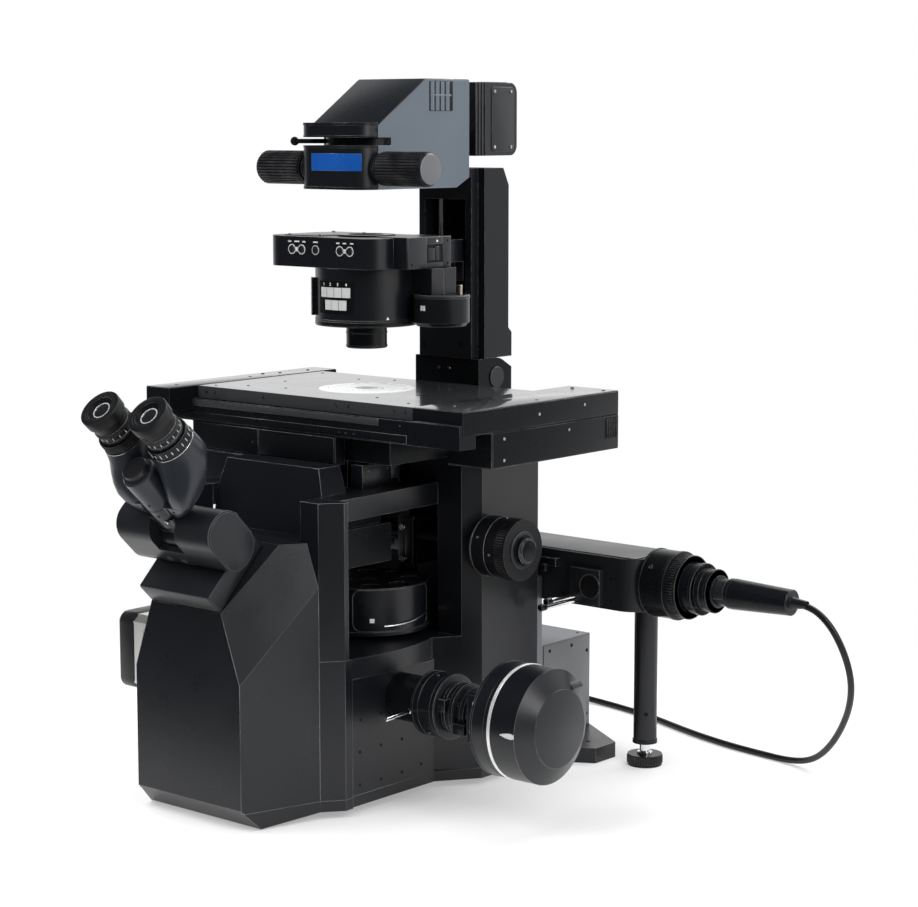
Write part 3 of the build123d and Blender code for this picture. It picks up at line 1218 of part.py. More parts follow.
def footprint_middle(made):
    """The middle of the footprint, without the free cord."""
    boxes = [shape.bounding_box() for name, shape in made.items() if name != "light_guide_cord"]
    x = (min(b.min.X for b in boxes) + max(b.max.X for b in boxes)) / 2
    y = (min(b.min.Y for b in boxes) + max(b.max.Y for b in boxes)) / 2
    return Vector(x, y, min(b.min.Z for b in boxes))


def main():
    os.makedirs("parts", exist_ok=True)
    made = nodes()
    middle = footprint_middle(made)
    print("origin", tuple(round(v, 4) for v in middle))
    for name, shape in made.items():
        export_step(shape.moved(Location(-middle)), f"parts/{name}.step")


if __name__ == "__main__":
    main()
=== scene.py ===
"""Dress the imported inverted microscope: finishes, small fittings, light guide cord, studio and camera.

Sizes are in millimetres about the optical axis (x = y = 0, table at z = 0), and go into the row frame in metres.
"""
from __future__ import annotations

import logging
import math
from dataclasses import dataclass
from enum import Enum
from typing import Iterable, Sequence

import bmesh
import bpy
from mathutils import Matrix, Vector

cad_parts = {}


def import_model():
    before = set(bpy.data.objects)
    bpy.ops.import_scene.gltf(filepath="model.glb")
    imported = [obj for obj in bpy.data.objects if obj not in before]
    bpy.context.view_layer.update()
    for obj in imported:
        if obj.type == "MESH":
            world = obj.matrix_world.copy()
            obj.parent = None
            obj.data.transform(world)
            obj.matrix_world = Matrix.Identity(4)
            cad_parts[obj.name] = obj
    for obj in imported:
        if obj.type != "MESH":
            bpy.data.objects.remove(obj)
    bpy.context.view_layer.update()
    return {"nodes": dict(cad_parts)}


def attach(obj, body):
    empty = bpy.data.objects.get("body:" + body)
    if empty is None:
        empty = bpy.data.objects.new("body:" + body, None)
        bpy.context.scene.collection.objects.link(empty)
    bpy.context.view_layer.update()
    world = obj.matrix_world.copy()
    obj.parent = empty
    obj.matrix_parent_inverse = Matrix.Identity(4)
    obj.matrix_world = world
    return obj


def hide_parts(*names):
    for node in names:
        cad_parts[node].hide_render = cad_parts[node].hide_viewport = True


LOG = logging.getLogger("microscope")
Point = tuple[float, float, float]
Pair = tuple[float, float]
Rows = tuple[tuple[float, ...], ...]
Tree, Socket = bpy.types.NodeTree, bpy.types.NodeSocket
Step = tuple[Vector, Vector]
Place = tuple[Vector, Vector, Vector]

MM = 0.001
OPTICAL_AXIS = Vector((-0.075, 0.0518257, 0.0))
X, Y, Z = Vector((1, 0, 0)), Vector((0, 1, 0)), Vector((0, 0, 1))
ALONG = Vector((0, 1, 1)).normalized()
AWAY = Vector((0, -1, 1)).normalized()
SEAT = Vector((0, -284, 232))
SMOOTH_ANGLE = math.radians(32)
SIDES, SIDE_NAMES = (-1, 1), ("left", "right")
SUNK = 0.2  # how far a fitting is sunk into the surface it stands on


def at(x: float, y: float, z: float) -> Vector:
    """A point about the optical axis, in the row frame's metres."""
    return Vector((x, y, z)) * MM + OPTICAL_AXIS


def on_tube(x: float, s: float, n: float) -> Vector:
    """A point of the observation tube, from its own coordinates, in millimetres about the optical axis."""
    return SEAT + X * x + ALONG * s + AWAY * n


def feed(tree: Tree, node: bpy.types.Node, inputs: dict[str | int, object]) -> None:
    """Set a node's inputs.

    Args:
        tree: The node's tree.
        node: The node.
        inputs: For each input its value, or the socket that gives it.
    """
    for key, value in inputs.items():
        if isinstance(value, Socket):
            tree.links.new(value, node.inputs[key])
        else:
            node.inputs[key].default_value = value


def lay(tree: Tree, kind: str, inputs: dict[str | int, object] | None = None, **settings: str | int) -> bpy.types.Node:
    """Lay a shader node in a tree.

    Args:
        tree: The tree.
        kind: The node's type, without its prefix.
        inputs: For each input its value, or the socket that gives it.
        settings: The node's own settings.

    Returns:
        The node.
    """
    node = tree.nodes.new(f"ShaderNode{kind}")
    for key, value in settings.items():
        setattr(node, key, value)
    feed(tree, node, inputs or {})
    return node


class Grain(Enum):
    """What the surface of a finish looks like close up."""

    SATIN = "satin paint"
    HAMMERED = "hammered paint"
    ANODISED = "anodised metal"
    BRUSHED = "brushed metal"
    POLISHED = "polished metal"
    RUBBER = "rubber"
    PLASTIC = "moulded plastic"
    GLASS = "coated glass"


@dataclass(frozen=True)
class GrainRecipe:
    """How a grain varies: sizes are patterns per metre, depths are metres."""

    cloud_scale: float
    cloud_share: float
    bump_scale: float
    bump_depth: float
    bump_strength: float
    rough_spread: float
    stretch: tuple[float, float, float] = (1.0, 1.0, 1.0)


RECIPES: dict[Grain, GrainRecipe] = {
    Grain.SATIN: GrainRecipe(9, 0.05, 1900, 0.00006, 0.10, 0.03),
    Grain.HAMMERED: GrainRecipe(380, 0.14, 760, 0.00028, 0.45, 0.08),
    Grain.ANODISED: GrainRecipe(14, 0.05, 3200, 0.00003, 0.06, 0.03),
    Grain.BRUSHED: GrainRecipe(30, 0.12, 900, 0.00006, 0.25, 0.10, (1.0, 1.0, 0.04)),
    Grain.POLISHED: GrainRecipe(20, 0.05, 600, 0.00001, 0.05, 0.04),
    Grain.RUBBER: GrainRecipe(40, 0.20, 2600, 0.00012, 0.30, 0.08),
    Grain.PLASTIC: GrainRecipe(18, 0.10, 2200, 0.00006, 0.18, 0.06),
    Grain.GLASS: GrainRecipe(60, 0.08, 300, 0.00001, 0.03, 0.02),
}


@dataclass(frozen=True)
class Finish:
    """One procedural finish of the microscope."""

    name: str
    slot: str
    colour: tuple[float, float, float]
    roughness: float
    grain: Grain
    metallic: float = 0.0
    coat: float = 0.0
    specular: float = 0.5
    edge: float = 0.0008
    # How much paler the edges are painted: a painted highlight along the edges.
    worn: float = 0.10

    def material(self) -> bpy.types.Material:
        """The finish as a node material, made once."""
        made = bpy.data.materials.get(self.name)
        return made if made is not None else self._build()

    def _build(self) -> bpy.types.Material:
        """Lay out the nodes: clouded colour, uneven roughness, fine bump, softened edges and a painted highlight along
        the edges.

        Returns:
            The material.
        """
        recipe = RECIPES[self.grain]
        material = bpy.data.materials.new(self.name)
        material.use_nodes = True
        tree = material.node_tree
        place = lay(tree, "TexCoord").outputs["Object"]
        stretched = lay(tree, "Mapping", {"Vector": place, "Scale": recipe.stretch}).outputs["Vector"]
        cloud, rough, fine = (
            lay(tree, "TexNoise", {"Vector": stretched, "Scale": scale, "Detail": detail}).outputs["Fac"]
            for scale, detail in ((recipe.cloud_scale, 4), (recipe.cloud_scale * 3, 3), (recipe.bump_scale, 2)))
        colour = self._colour(tree, cloud, recipe)
        bump = lay(tree, "Bump", {"Height": fine, "Strength": recipe.bump_strength, "Distance": recipe.bump_depth})
        if self.edge > 0:
            soft = lay(tree, "Bevel", {"Radius": self.edge}, samples=4).outputs["Normal"]
            feed(tree, bump, {"Normal": soft})
            # Paint a pale highlight along the edges into the colour.
            colour = self._worn(tree, soft, cloud, colour)
        shader = tree.nodes["Principled BSDF"]
        feed(tree, shader, {
            "Base Color": colour, "Roughness": self._rough(tree, rough, recipe), "Normal": bump.outputs["Normal"],
            "Metallic": self.metallic, "Coat Weight": self.coat, "Specular IOR Level": self.specular})
        if self.grain is Grain.GLASS:
            feed(tree, shader, {"Transmission Weight": 0.6, "IOR": 1.52})
        return material

    def _colour(self, tree: Tree, cloud: Socket, recipe: GrainRecipe) -> Socket:
        """Cloud the colour between a darker and a lighter shade.

        Args:
            tree: The material's tree.
            cloud: The noise that clouds it.
            recipe: The grain's recipe.

        Returns:
            The socket that gives the colour.
        """
        ramp = lay(tree, "ValToRGB", {"Fac": cloud})
        shares = (1 - recipe.cloud_share, 1 + recipe.cloud_share)
        for element, position, share in zip(ramp.color_ramp.elements, (0.3, 0.7), shares):
            element.position = position
            element.color = (*(min(1.0, c * share) for c in self.colour), 1)
        return ramp.outputs["Color"]

    def _worn(self, tree: Tree, soft: Socket, cloud: Socket, colour: Socket) -> Socket:
        """Paint a pale highlight along the edges, broken up unevenly.

        Args:
            tree: The material's tree.
            soft: The normal with rounded edges.
            cloud: The noise that breaks up the wear.
            colour: The colour without the painted edge highlight.

        Returns:
            The socket that gives the colour with its painted edge highlight.
        """
        face = lay(tree, "NewGeometry").outputs["Normal"]
        turn = lay(tree, "VectorMath", {0: soft, 1: face}, operation="DOT_PRODUCT").outputs["Value"]
        edges = lay(tree, "MapRange", {"Value": turn, "From Min": 0.995, "From Max": 0.88})
        runs = lay(tree, "MapRange", {"Value": cloud, "From Min": 0.40, "From Max": 0.66, "To Min": 0.12})
        both = {0: edges.outputs["Result"], 1: runs.outputs["Result"]}
        # The painted edge highlight, broken up by the cloud.
        highlight_mask = lay(tree, "Math", both, operation="MULTIPLY").outputs["Value"]
        mix = lay(tree, "Mix", data_type="RGBA")
        feed(tree, mix, {"Factor": highlight_mask})
        first, second = (s for s in mix.inputs if s.type == "RGBA")
        tree.links.new(colour, first)
        second.default_value = (*(min(1.0, c + self.worn) for c in self.colour), 1)
        return next(s for s in mix.outputs if s.type == "RGBA")

    def _rough(self, tree: Tree, cloud: Socket, recipe: GrainRecipe) -> Socket:
        """Spread the roughness a little about its value.

        Args:
            tree: The material's tree.
            cloud: The noise that spreads it.
            recipe: The grain's recipe.

        Returns:
            The socket that gives the roughness.
        """
        low, high = max(0.02, self.roughness - recipe.rough_spread), min(1.0, self.roughness + recipe.rough_spread)
        spread = {"Value": cloud, "From Min": 0.3, "From Max": 0.7, "To Min": low, "To Max": high}
        return lay(tree, "MapRange", spread).outputs["Result"]


# A paler edge given to a finish is a painted highlight along its edges.
CASTING = Finish("casting_black", "casting", (0.0048, 0.0055, 0.0076), 0.32, Grain.SATIN, specular=0.46,
                 worn=0.40)
COVER = Finish("cover_black", "cover", (0.0058, 0.0066, 0.0090), 0.29, Grain.SATIN, specular=0.42, worn=0.50)
CHARCOAL = Finish("charcoal_satin", "casting", (0.011, 0.0125, 0.015), 0.34, Grain.SATIN, specular=0.40,
                  worn=0.40)
CHEEK = Finish("cheek_blue_grey", "hammered", (0.125, 0.150, 0.180), 0.32, Grain.SATIN, 0.40, worn=0.35)
PILLAR = Finish("pillar_hammered", "hammered", (0.0065, 0.0075, 0.0095), 0.38, Grain.HAMMERED, specular=0.24,
                worn=0.25)
ANODISED = Finish("anodised_black", "anodised", (0.0048, 0.0055, 0.0068), 0.26, Grain.ANODISED,
                  specular=0.24, worn=0.30)
STAGE_BLACK = Finish("stage_black", "anodised", (0.0046, 0.0052, 0.0064), 0.28, Grain.ANODISED,
                     specular=0.11, worn=0.30)
SCREW = Finish("screw_dark_steel", "steel", (0.16, 0.16, 0.165), 0.28, Grain.POLISHED, metallic=1.0)
STAGE_TOP = Finish("stage_anodised", "stage_top", (0.030, 0.031, 0.034), 0.13, Grain.ANODISED, specular=0.6,
                   coat=0.35)
TUBE_GREY = Finish("tube_blue_grey", "tube_grey", (0.016, 0.019, 0.0245), 0.30, Grain.SATIN, specular=0.45,
                   worn=0.30)
BOX_GREY = Finish("box_grey", "box_grey", (0.095, 0.100, 0.108), 0.40, Grain.SATIN)
PLATE_GREY = Finish("plate_grey", "box_grey", (0.165, 0.170, 0.178), 0.38, Grain.SATIN)
RUBBER = Finish("rubber_black", "rubber", (0.0060, 0.0064, 0.0074), 0.38, Grain.RUBBER, specular=0.32,
                worn=0.08)
GRIP = Finish("grip_black", "grip", (0.0052, 0.0055, 0.0068), 0.40, Grain.RUBBER, specular=0.26, worn=0.14)
STEEL = Finish("steel_brushed", "steel", (0.52, 0.53, 0.54), 0.28, Grain.BRUSHED, metallic=1.0)
CHROME = Finish("chrome_bright", "chrome", (0.80, 0.80, 0.81), 0.09, Grain.POLISHED, metallic=1.0)
SILVER = Finish("silver_satin", "steel", (0.86, 0.86, 0.85), 0.30, Grain.BRUSHED, metallic=0.6)
PLASTIC = Finish("plastic_black", "plastic", (0.010, 0.010, 0.012), 0.36, Grain.PLASTIC, specular=0.4,
                 worn=0.12)
WHITE = Finish("paint_white", "key_white", (0.80, 0.80, 0.79), 0.38, Grain.PLASTIC, edge=0.0)
PALE = Finish("window_pale", "key_white", (0.46, 0.47, 0.46), 0.30, Grain.PLASTIC, edge=0.0)
INSERT = Finish("insert_pale", "insert", (0.72, 0.74, 0.76), 0.20, Grain.ANODISED, specular=0.6)
CAMERA_WHITE = Finish("camera_white", "camera_white", (0.66, 0.66, 0.65), 0.36, Grain.SATIN)
END_GREY = Finish("end_cap_grey", "insert", (0.115, 0.120, 0.130), 0.36, Grain.PLASTIC)
END_DARK = Finish("end_cap_dark", "anodised", (0.012, 0.0135, 0.0165), 0.32, Grain.SATIN, specular=0.34,
                  worn=0.35)
BLUE = Finish("plate_blue", "plastic", (0.004, 0.060, 0.270), 0.24, Grain.PLASTIC, worn=0.30)
BRASS = Finish("pin_bronze", "steel", (0.40, 0.34, 0.28), 0.25, Grain.BRUSHED, metallic=1.0)
GLASS = Finish("lens_glass", "glass", (0.020, 0.026, 0.028), 0.04, Grain.GLASS, specular=0.8, edge=0.0)
# Near-black and dull: the black of seams and the display, and painted shade where beds, slots and dishes stand in for
# the depth of vents, slots and holes.
DARK = Finish("black_and_painted_shade", "plastic", (0.003, 0.003, 0.004), 0.60, Grain.PLASTIC, specular=0.2, worn=0.0)

NODE_FINISH: dict[str, Finish] = {
    "base_plate": CASTING, "rubber_feet": RUBBER, "frame_casting": CASTING, "front_post": CASTING, "front_cover": COVER,
    "upper_front_cover": COVER, "side_panels": CASTING, "relay_prism": GLASS, "focus_rail": STEEL,
    "analyser_module": STAGE_BLACK, "rear_box": BOX_GREY, "rear_foot": CASTING, "cord_socket": PLASTIC,
    "illuminator_arm": CHARCOAL, "illuminator_leg": CASTING, "levelling_foot": ANODISED,
    "filter_slider": CHROME, "lamp_collimator": ANODISED, "light_guide_end": ANODISED,
    "light_guide_cord": RUBBER, "hinge_block": STAGE_BLACK, "pillar": PILLAR, "guide_rod": CHROME,
    "lamp_head": CHEEK, "field_stop_housing": CASTING, "field_stop_lever": ANODISED, "head_grips": GRIP,
    "lamp_housing": CASTING, "led_source": WHITE, "condenser_carrier": CASTING, "condenser_top": CASTING,
    "condenser_housing": CASTING, "condenser_lens": ANODISED, "condenser_turret": ANODISED,
    "polariser_drum": ANODISED, "stage_base": STAGE_BLACK, "stage_carriage": STAGE_BLACK, "stage_plate": STAGE_TOP,
    "stage_insert": INSERT, "nosepiece_lift": CASTING, "nosepiece": ANODISED, "objectives": STEEL,
    "coarse_knob": GRIP, "fine_knob": ANODISED, "mirror_turret": ANODISED, "tube_base": CHARCOAL,
    "binocular_body": TUBE_GREY, "eyepiece_tube_left": TUBE_GREY, "eyepiece_tube_right": TUBE_GREY,
    "eyepiece_left": GRIP, "eyepiece_right": GRIP, "dioptre_ring": ANODISED, "port_adaptors": ANODISED,
    "right_camera": CASTING, "left_camera": CAMERA_WHITE,
    **{f"button_{i}": PLASTIC for i in range(1, 6)},
}


class Form:
    """A mesh under construction, in millimetres about the optical axis."""

    def __init__(self) -> None:
        """Start empty."""
        self.bm = bmesh.new()

    def _take(self, part: bmesh.types.BMesh, bevel: float, segments: int = 2) -> "Form":
        """Round the part's hard edges and add it.

        Args:
            part: The new closed shape.
            bevel: Edge radius in millimetres, 0 for none.
            segments: Steps across a rounded edge.

        Returns:
            This form.
        """
        bmesh.ops.recalc_face_normals(part, faces=part.faces)
        if bevel > 0:
            hard = [e for e in part.edges if len(e.link_faces) == 2 and e.calc_face_angle(0) > SMOOTH_ANGLE]
            bmesh.ops.bevel(part, geom=hard, offset=bevel, segments=segments, profile=0.5, affect="EDGES",
                            clamp_overlap=True)
        mesh = bpy.data.meshes.new("part")
        part.to_mesh(mesh)
        part.free()
        self.bm.from_mesh(mesh)
        bpy.data.meshes.remove(mesh)
        return self

    def box(self, x0: float, x1: float, y0: float, y1: float, z0: float, z1: float, bevel: float = 0.6) -> "Form":
        """Add a box between two corners, with rounded edges.

        Args:
            x0: Left.
            x1: Right.
            y0: Front.
            y1: Back.
            z0: Bottom.
            z1: Top.
            bevel: Edge radius.

        Returns:
            This form.
        """
        part = bmesh.new()
        bmesh.ops.create_cube(part, size=1)
        size = Matrix.Diagonal((x1 - x0, y1 - y0, z1 - z0, 1))
        bmesh.ops.transform(part, matrix=Matrix.Translation(((x0 + x1) / 2, (y0 + y1) / 2, (z0 + z1) / 2)) @ size,
                            verts=part.verts)
        return self._take(part, bevel)

    def pair(self, x0: float, x1: float, y0: float, y1: float, z0: float, z1: float, bevel: float = 0.6) -> "Form":
        """Add a box on the right and its mirror image on the left.

        Args:
            x0: Inner side.
            x1: Outer side.
            y0: Front.
            y1: Back.
            z0: Bottom.
            z1: Top.
            bevel: Edge radius.

        Returns:
            This form.
        """
        for side in SIDES:
            low, high = sorted((side * x0, side * x1))
            self.box(low, high, y0, y1, z0, z1, bevel)
        return self

    def plate(self, outline: Sequence[Pair], origin: Vector | Point, across: Vector | Point,
              out: Vector | Point, thick: float, bevel: float = 0.3) -> "Form":
        """Add a flat plate from its outline.

        Args:
            outline: Corners in the plate's own plane.
            origin: Where (0, 0) of the outline lies.
            across: The outline's first direction.
            out: The direction in which the plate gets its thickness.
            thick: The thickness.
            bevel: Edge radius.

        Returns:
            This form.
        """
        first, normal = Vector(across).normalized(), Vector(out).normalized()
        second = normal.cross(first)
        part = bmesh.new()
        low = [part.verts.new(Vector(origin) + first * a + second * b) for a, b in outline]
        high = [part.verts.new(v.co + normal * thick) for v in low]
        part.faces.new(low)
        part.faces.new(list(reversed(high)))
        for i, v in enumerate(low):
            j = (i + 1) % len(low)
            part.faces.new((v, low[j], high[j], high[i]))
        return self._take(part, bevel)

    def turned(self, profile: Sequence[Pair], start: Vector | Point, direction: Vector | Point,
               steps: int = 48) -> "Form":
        """Add a turned shape.

        Args:
            profile: Pairs of distance along the axis and radius; a radius of 0 closes an end.
            start: Where distance 0 lies.
            direction: The axis.
            steps: Facets around.

        Returns:
            This form.
        """
        axis = Vector(direction).normalized()
        side = axis.orthogonal().normalized()
        other = axis.cross(side)
        part = bmesh.new()
        rings: list[list[bmesh.types.BMVert]] = []
        for distance, radius in profile:
            centre = Vector(start) + axis * distance
            if radius <= 0:
                rings.append([part.verts.new(centre)])
                continue
            turn = [2 * math.pi * i / steps for i in range(steps)]
            rings.append([part.verts.new(centre + (side * math.cos(t) + other * math.sin(t)) * radius) for t in turn])
        for a, b in zip(rings, rings[1:]):
            for i in range(steps):
                j = (i + 1) % steps
                corners = [a[i % len(a)], a[j % len(a)], b[j % len(b)], b[i % len(b)]]
                part.faces.new(list(dict.fromkeys(corners)))
        for ring in (rings[0], rings[-1]):
            if len(ring) > 1 and profile[0] != profile[-1]:
                part.faces.new(ring)
        if profile[0] == profile[-1]:
            bmesh.ops.remove_doubles(part, verts=part.verts, dist=1e-4)
        return self._take(part, 0)

    def ring(self, start: Vector | Point, axis: Vector | Point, width: float, radius: float, lip: float = 0.8,
             edge: float = 0.3, steps: int = 64) -> "Form":
        """Add a raised ring with chamfered edges."""
        profile = [(0, radius - lip), (edge, radius), (width - edge, radius), (width, radius - lip)]
        return self.turned(profile, start, axis, steps)

    def ribbon(self, path: Sequence[Step], up: Vector | Point, height: float, thick: float) -> "Form":
        """Add a plate that follows a path over a surface.

        Args:
            path: Points on the surface, each with the surface's outward direction.
            up: The direction across the path.
            height: The plate's width across the path.
            thick: How far it stands proud.

        Returns:
            This form.
        """
        part = bmesh.new()
        rise = Vector(up).normalized() * height
        columns = []
        for point, out in path:
            inner, outer = Vector(point) - out * 0.3, Vector(point) + out * thick
            columns.append([part.verts.new(v) for v in (inner, outer, outer + rise, inner + rise)])
        for a, b in zip(columns, columns[1:]):
            for i in range(4):
                part.faces.new((a[i], a[(i + 1) % 4], b[(i + 1) % 4], b[i]))
        part.faces.new(columns[0])
        part.faces.new(columns[-1])
        return self._take(part, 0)

    def skin(self, sections: Sequence[Sequence[Vector]], bevel: float = 0.0) -> "Form":
        """Add a closed skin over sections with equal numbers of points.

        Args:
            sections: The sections in order, each a closed ring.
            bevel: Edge radius.

        Returns:
            This form.
        """
        part = bmesh.new()
        rings = [[part.verts.new(p) for p in ring] for ring in sections]
        for a, b in zip(rings, rings[1:]):
            for i in range(len(a)):
                j = (i + 1) % len(a)
                part.faces.new((a[i], a[j], b[j], b[i]))
        part.faces.new(rings[0])
        part.faces.new(rings[-1])
        return self._take(part, bevel)

    def wire(self, points: Sequence[Vector | Point], radius: float, closed: bool = False, sides: int = 8) -> "Form":
        """Add a round bar along a polyline.

        Args:
            points: The polyline.
            radius: The bar's radius.
            closed: Whether its end joins its start.
            sides: Facets around.

        Returns:
            This form.
        """
        line = [Vector(p) for p in points]
        part = bmesh.new()
        rings = []
        side = None
        for i, here in enumerate(line):
            before = line[i - 1] if i or closed else here
            after = line[(i + 1) % len(line)] if i + 1 < len(line) or closed else here
            way = (after - before).normalized()
            side = way.orthogonal().normalized() if side is None else (side - way * side.dot(way)).normalized()
            other = way.cross(side)
            turns = [2 * math.pi * k / sides for k in range(sides)]
            rings.append([part.verts.new(here + (side * math.cos(t) + other * math.sin(t)) * radius) for t in turns])
        for a, b in zip(rings, rings[1:] + (rings[:1] if closed else [])):
            for i in range(sides):
                j = (i + 1) % sides
                part.faces.new((a[i], a[j], b[j], b[i]))
        if not closed:
            part.faces.new(rings[0])
            part.faces.new(rings[-1])
        return self._take(part, 0)

    def piece(self, name: str, body: str, finish: Finish, replaces: Sequence[str] = ()) -> bpy.types.Object:
        """Turn the form into a dressed object that rides on a body.

        Args:
            name: The piece's name.
            body: The CAD body that carries it.
            finish: Its finish.
            replaces: CAD nodes that it stands for.

        Returns:
            The object.
        """
        bmesh.ops.transform(self.bm, matrix=Matrix.Translation(OPTICAL_AXIS) @ Matrix.Scale(MM, 4), verts=self.bm.verts)
        mesh = bpy.data.meshes.new(name)
        self.bm.to_mesh(mesh)
        self.bm.free()
        return dress(mesh, name, body, finish, replaces)


def dress(mesh: bpy.types.Mesh, name: str, body: str, finish: Finish,
          replaces: Sequence[str] = ()) -> bpy.types.Object:
    """Make a mesh a finished piece of a body.

    Args:
        mesh: The mesh, in the row frame.
        name: The piece's name.
        body: The CAD body that carries it.
        finish: Its finish.
        replaces: CAD nodes that it stands for.

    Returns:
        The object.
    """
    mesh.materials.clear()
    mesh.materials.append(finish.material())
    mesh.shade_smooth()
    mesh.set_sharp_from_angle(angle=SMOOTH_ANGLE)
    piece = bpy.data.objects.new(name, mesh)
    bpy.context.scene.collection.objects.link(piece)
    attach(piece, body)
    if replaces:
        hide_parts(*replaces)
    LOG.info("%s on %s: %d faces", name, body, len(mesh.polygons))
    return piece


class Repeat:
    """Geometry Nodes that set one shape at every point of a carrier mesh, turned to each point's facing."""

    FACING = "facing"
    SPIN = "spin"

    def __init__(self) -> None:
        """Build the tree once."""
        self.tree = bpy.data.node_groups.new("set_at_points", "GeometryNodeTree")
        face = self.tree.interface
        face.new_socket("Geometry", in_out="INPUT", socket_type="NodeSocketGeometry")
        self.shape_id = face.new_socket("Shape", in_out="INPUT", socket_type="NodeSocketObject").identifier
        self.size_id = face.new_socket("Size", in_out="INPUT", socket_type="NodeSocketFloat").identifier
        self.finish_id = face.new_socket("Finish", in_out="INPUT", socket_type="NodeSocketMaterial").identifier
        face.new_socket("Geometry", in_out="OUTPUT", socket_type="NodeSocketGeometry")
        self._wire()

    def _wire(self) -> None:
        """Lay out the nodes: instance, turn, realise and set the material."""
        nodes, links = self.tree.nodes, self.tree.links
        start, end = nodes.new("NodeGroupInput"), nodes.new("NodeGroupOutput")
        shape = nodes.new("GeometryNodeObjectInfo")
        points = nodes.new("GeometryNodeInstanceOnPoints")
        turn = nodes.new("FunctionNodeAlignRotationToVector")
        turn.axis = "Z"
        roll = nodes.new("FunctionNodeAlignRotationToVector")
        roll.axis = "X"
        roll.pivot_axis = "Z"
        facing, spin = nodes.new("GeometryNodeInputNamedAttribute"), nodes.new("GeometryNodeInputNamedAttribute")
        for node, name in ((facing, self.FACING), (spin, self.SPIN)):
            node.data_type = "FLOAT_VECTOR"
            node.inputs["Name"].default_value = name
        real, finish = nodes.new("GeometryNodeRealizeInstances"), nodes.new("GeometryNodeSetMaterial")
        links.new(start.outputs["Geometry"], points.inputs["Points"])
        links.new(start.outputs["Shape"], shape.inputs["Object"])
        links.new(shape.outputs["Geometry"], points.inputs["Instance"])
        links.new(facing.outputs["Attribute"], turn.inputs["Vector"])
        links.new(turn.outputs["Rotation"], roll.inputs["Rotation"])
        links.new(spin.outputs["Attribute"], roll.inputs["Vector"])
        links.new(roll.outputs["Rotation"], points.inputs["Rotation"])
        links.new(start.outputs["Size"], points.inputs["Scale"])
        links.new(points.outputs["Instances"], real.inputs["Geometry"])
        links.new(real.outputs["Geometry"], finish.inputs["Geometry"])
        links.new(start.outputs["Finish"], finish.inputs["Material"])
        links.new(finish.outputs["Geometry"], end.inputs["Geometry"])

    def make(self, shape: Form, places: Iterable[Place], name: str, body: str,
             finish: Finish) -> bpy.types.Object:
        """Repeat a shape and make the result one plain piece.

        Args:
            shape: The shape about its own origin, in millimetres, with +Z outwards and +X along the spin.
            places: For each copy its place in millimetres, its facing and its spin direction.
            name: The piece's name.
            body: The CAD body that carries it.
            finish: Its finish.

        Returns:
            The object.
        """
        places = list(places)
        stamp_mesh, carrier_mesh = bpy.data.meshes.new("stamp"), bpy.data.meshes.new("carrier")
        shape.bm.to_mesh(stamp_mesh)
        shape.bm.free()
        carrier_mesh.from_pydata([at(*p) for p, _, _ in places], [], [])
        for column, label in ((1, self.FACING), (2, self.SPIN)):
            data = carrier_mesh.attributes.new(label, "FLOAT_VECTOR", "POINT").data
            for i, place in enumerate(places):
                data[i].vector = place[column]
        stamp, carrier = bpy.data.objects.new("stamp", stamp_mesh), bpy.data.objects.new("carrier", carrier_mesh)
        for thing in (stamp, carrier):
            bpy.context.scene.collection.objects.link(thing)
        modifier = carrier.modifiers.new("set", "NODES")
        modifier.node_group = self.tree
        modifier[self.shape_id], modifier[self.size_id] = stamp, MM
        modifier[self.finish_id] = finish.material()
        graph = bpy.context.evaluated_depsgraph_get()
        mesh = bpy.data.meshes.new_from_object(carrier.evaluated_get(graph))
        carrier.modifiers.clear()
        for thing, data in ((stamp, stamp_mesh), (carrier, carrier_mesh)):
            bpy.data.objects.remove(thing)
            bpy.data.meshes.remove(data)
        mesh.name = name
        return dress(mesh, name, body, finish)


def around(centre: Vector | Point, axis: Vector | Point, radius: float, count: int,
           first: float = 0.0) -> list[Place]:
    """Places evenly round an axis, each facing outwards with its spin along the axis.

    Args:
        centre: The ring's centre.
        axis: The ring's axis.
        radius: The ring's radius.
        count: How many.
        first: Angle of the first, in degrees.

    Returns:
        The places.
    """
    way = Vector(axis).normalized()
    side = way.orthogonal().normalized()
    other = way.cross(side)
    turns = [math.radians(first) + 2 * math.pi * i / count for i in range(count)]
    outs = [side * math.cos(t) + other * math.sin(t) for t in turns]
    return [(Vector(centre) + out * radius, out, way) for out in outs]


def arc(centre: Vector | Point, first: Vector, second: Vector, radius: float, angles: Pair,
        steps: int = 12) -> list[Step]:
    """Points round a cylinder with their outward directions.

    Args:
        centre: The arc's centre.
        first: The direction of angle 0.
        second: The direction of 90 degrees.
        radius: The cylinder's radius.
        angles: First and last angle in degrees.
        steps: Facets.

    Returns:
        The steps of the path.
    """
    turns = [math.radians(angles[0] + (angles[1] - angles[0]) * i / steps) for i in range(steps + 1)]
    outs = [first * math.cos(t) + second * math.sin(t) for t in turns]
    return [(Vector(centre) + out * radius, out) for out in outs]


def facing(points: Iterable[Vector | Point], out: Vector, along: Vector) -> list[Place]:
    """Places that all face one way."""
    return [(Vector(p), out, along) for p in points]


def both_sides(points: Iterable[Point], along: Vector) -> list[Place]:
    """Places on the left and the right that face outwards."""
    return [(Vector((side * x, y, z)), X * side, along) for side in SIDES for x, y, z in points]


def lifted(path: Iterable[Step], z: float) -> list[Step]:
    """A level path raised to a height."""
    return [(point + Z * z, out) for point, out in path]


def outward(degrees: float) -> Vector:
    """A level direction, counted from the front towards the right."""
    return Vector((math.sin(math.radians(degrees)), -math.cos(math.radians(degrees)), 0))


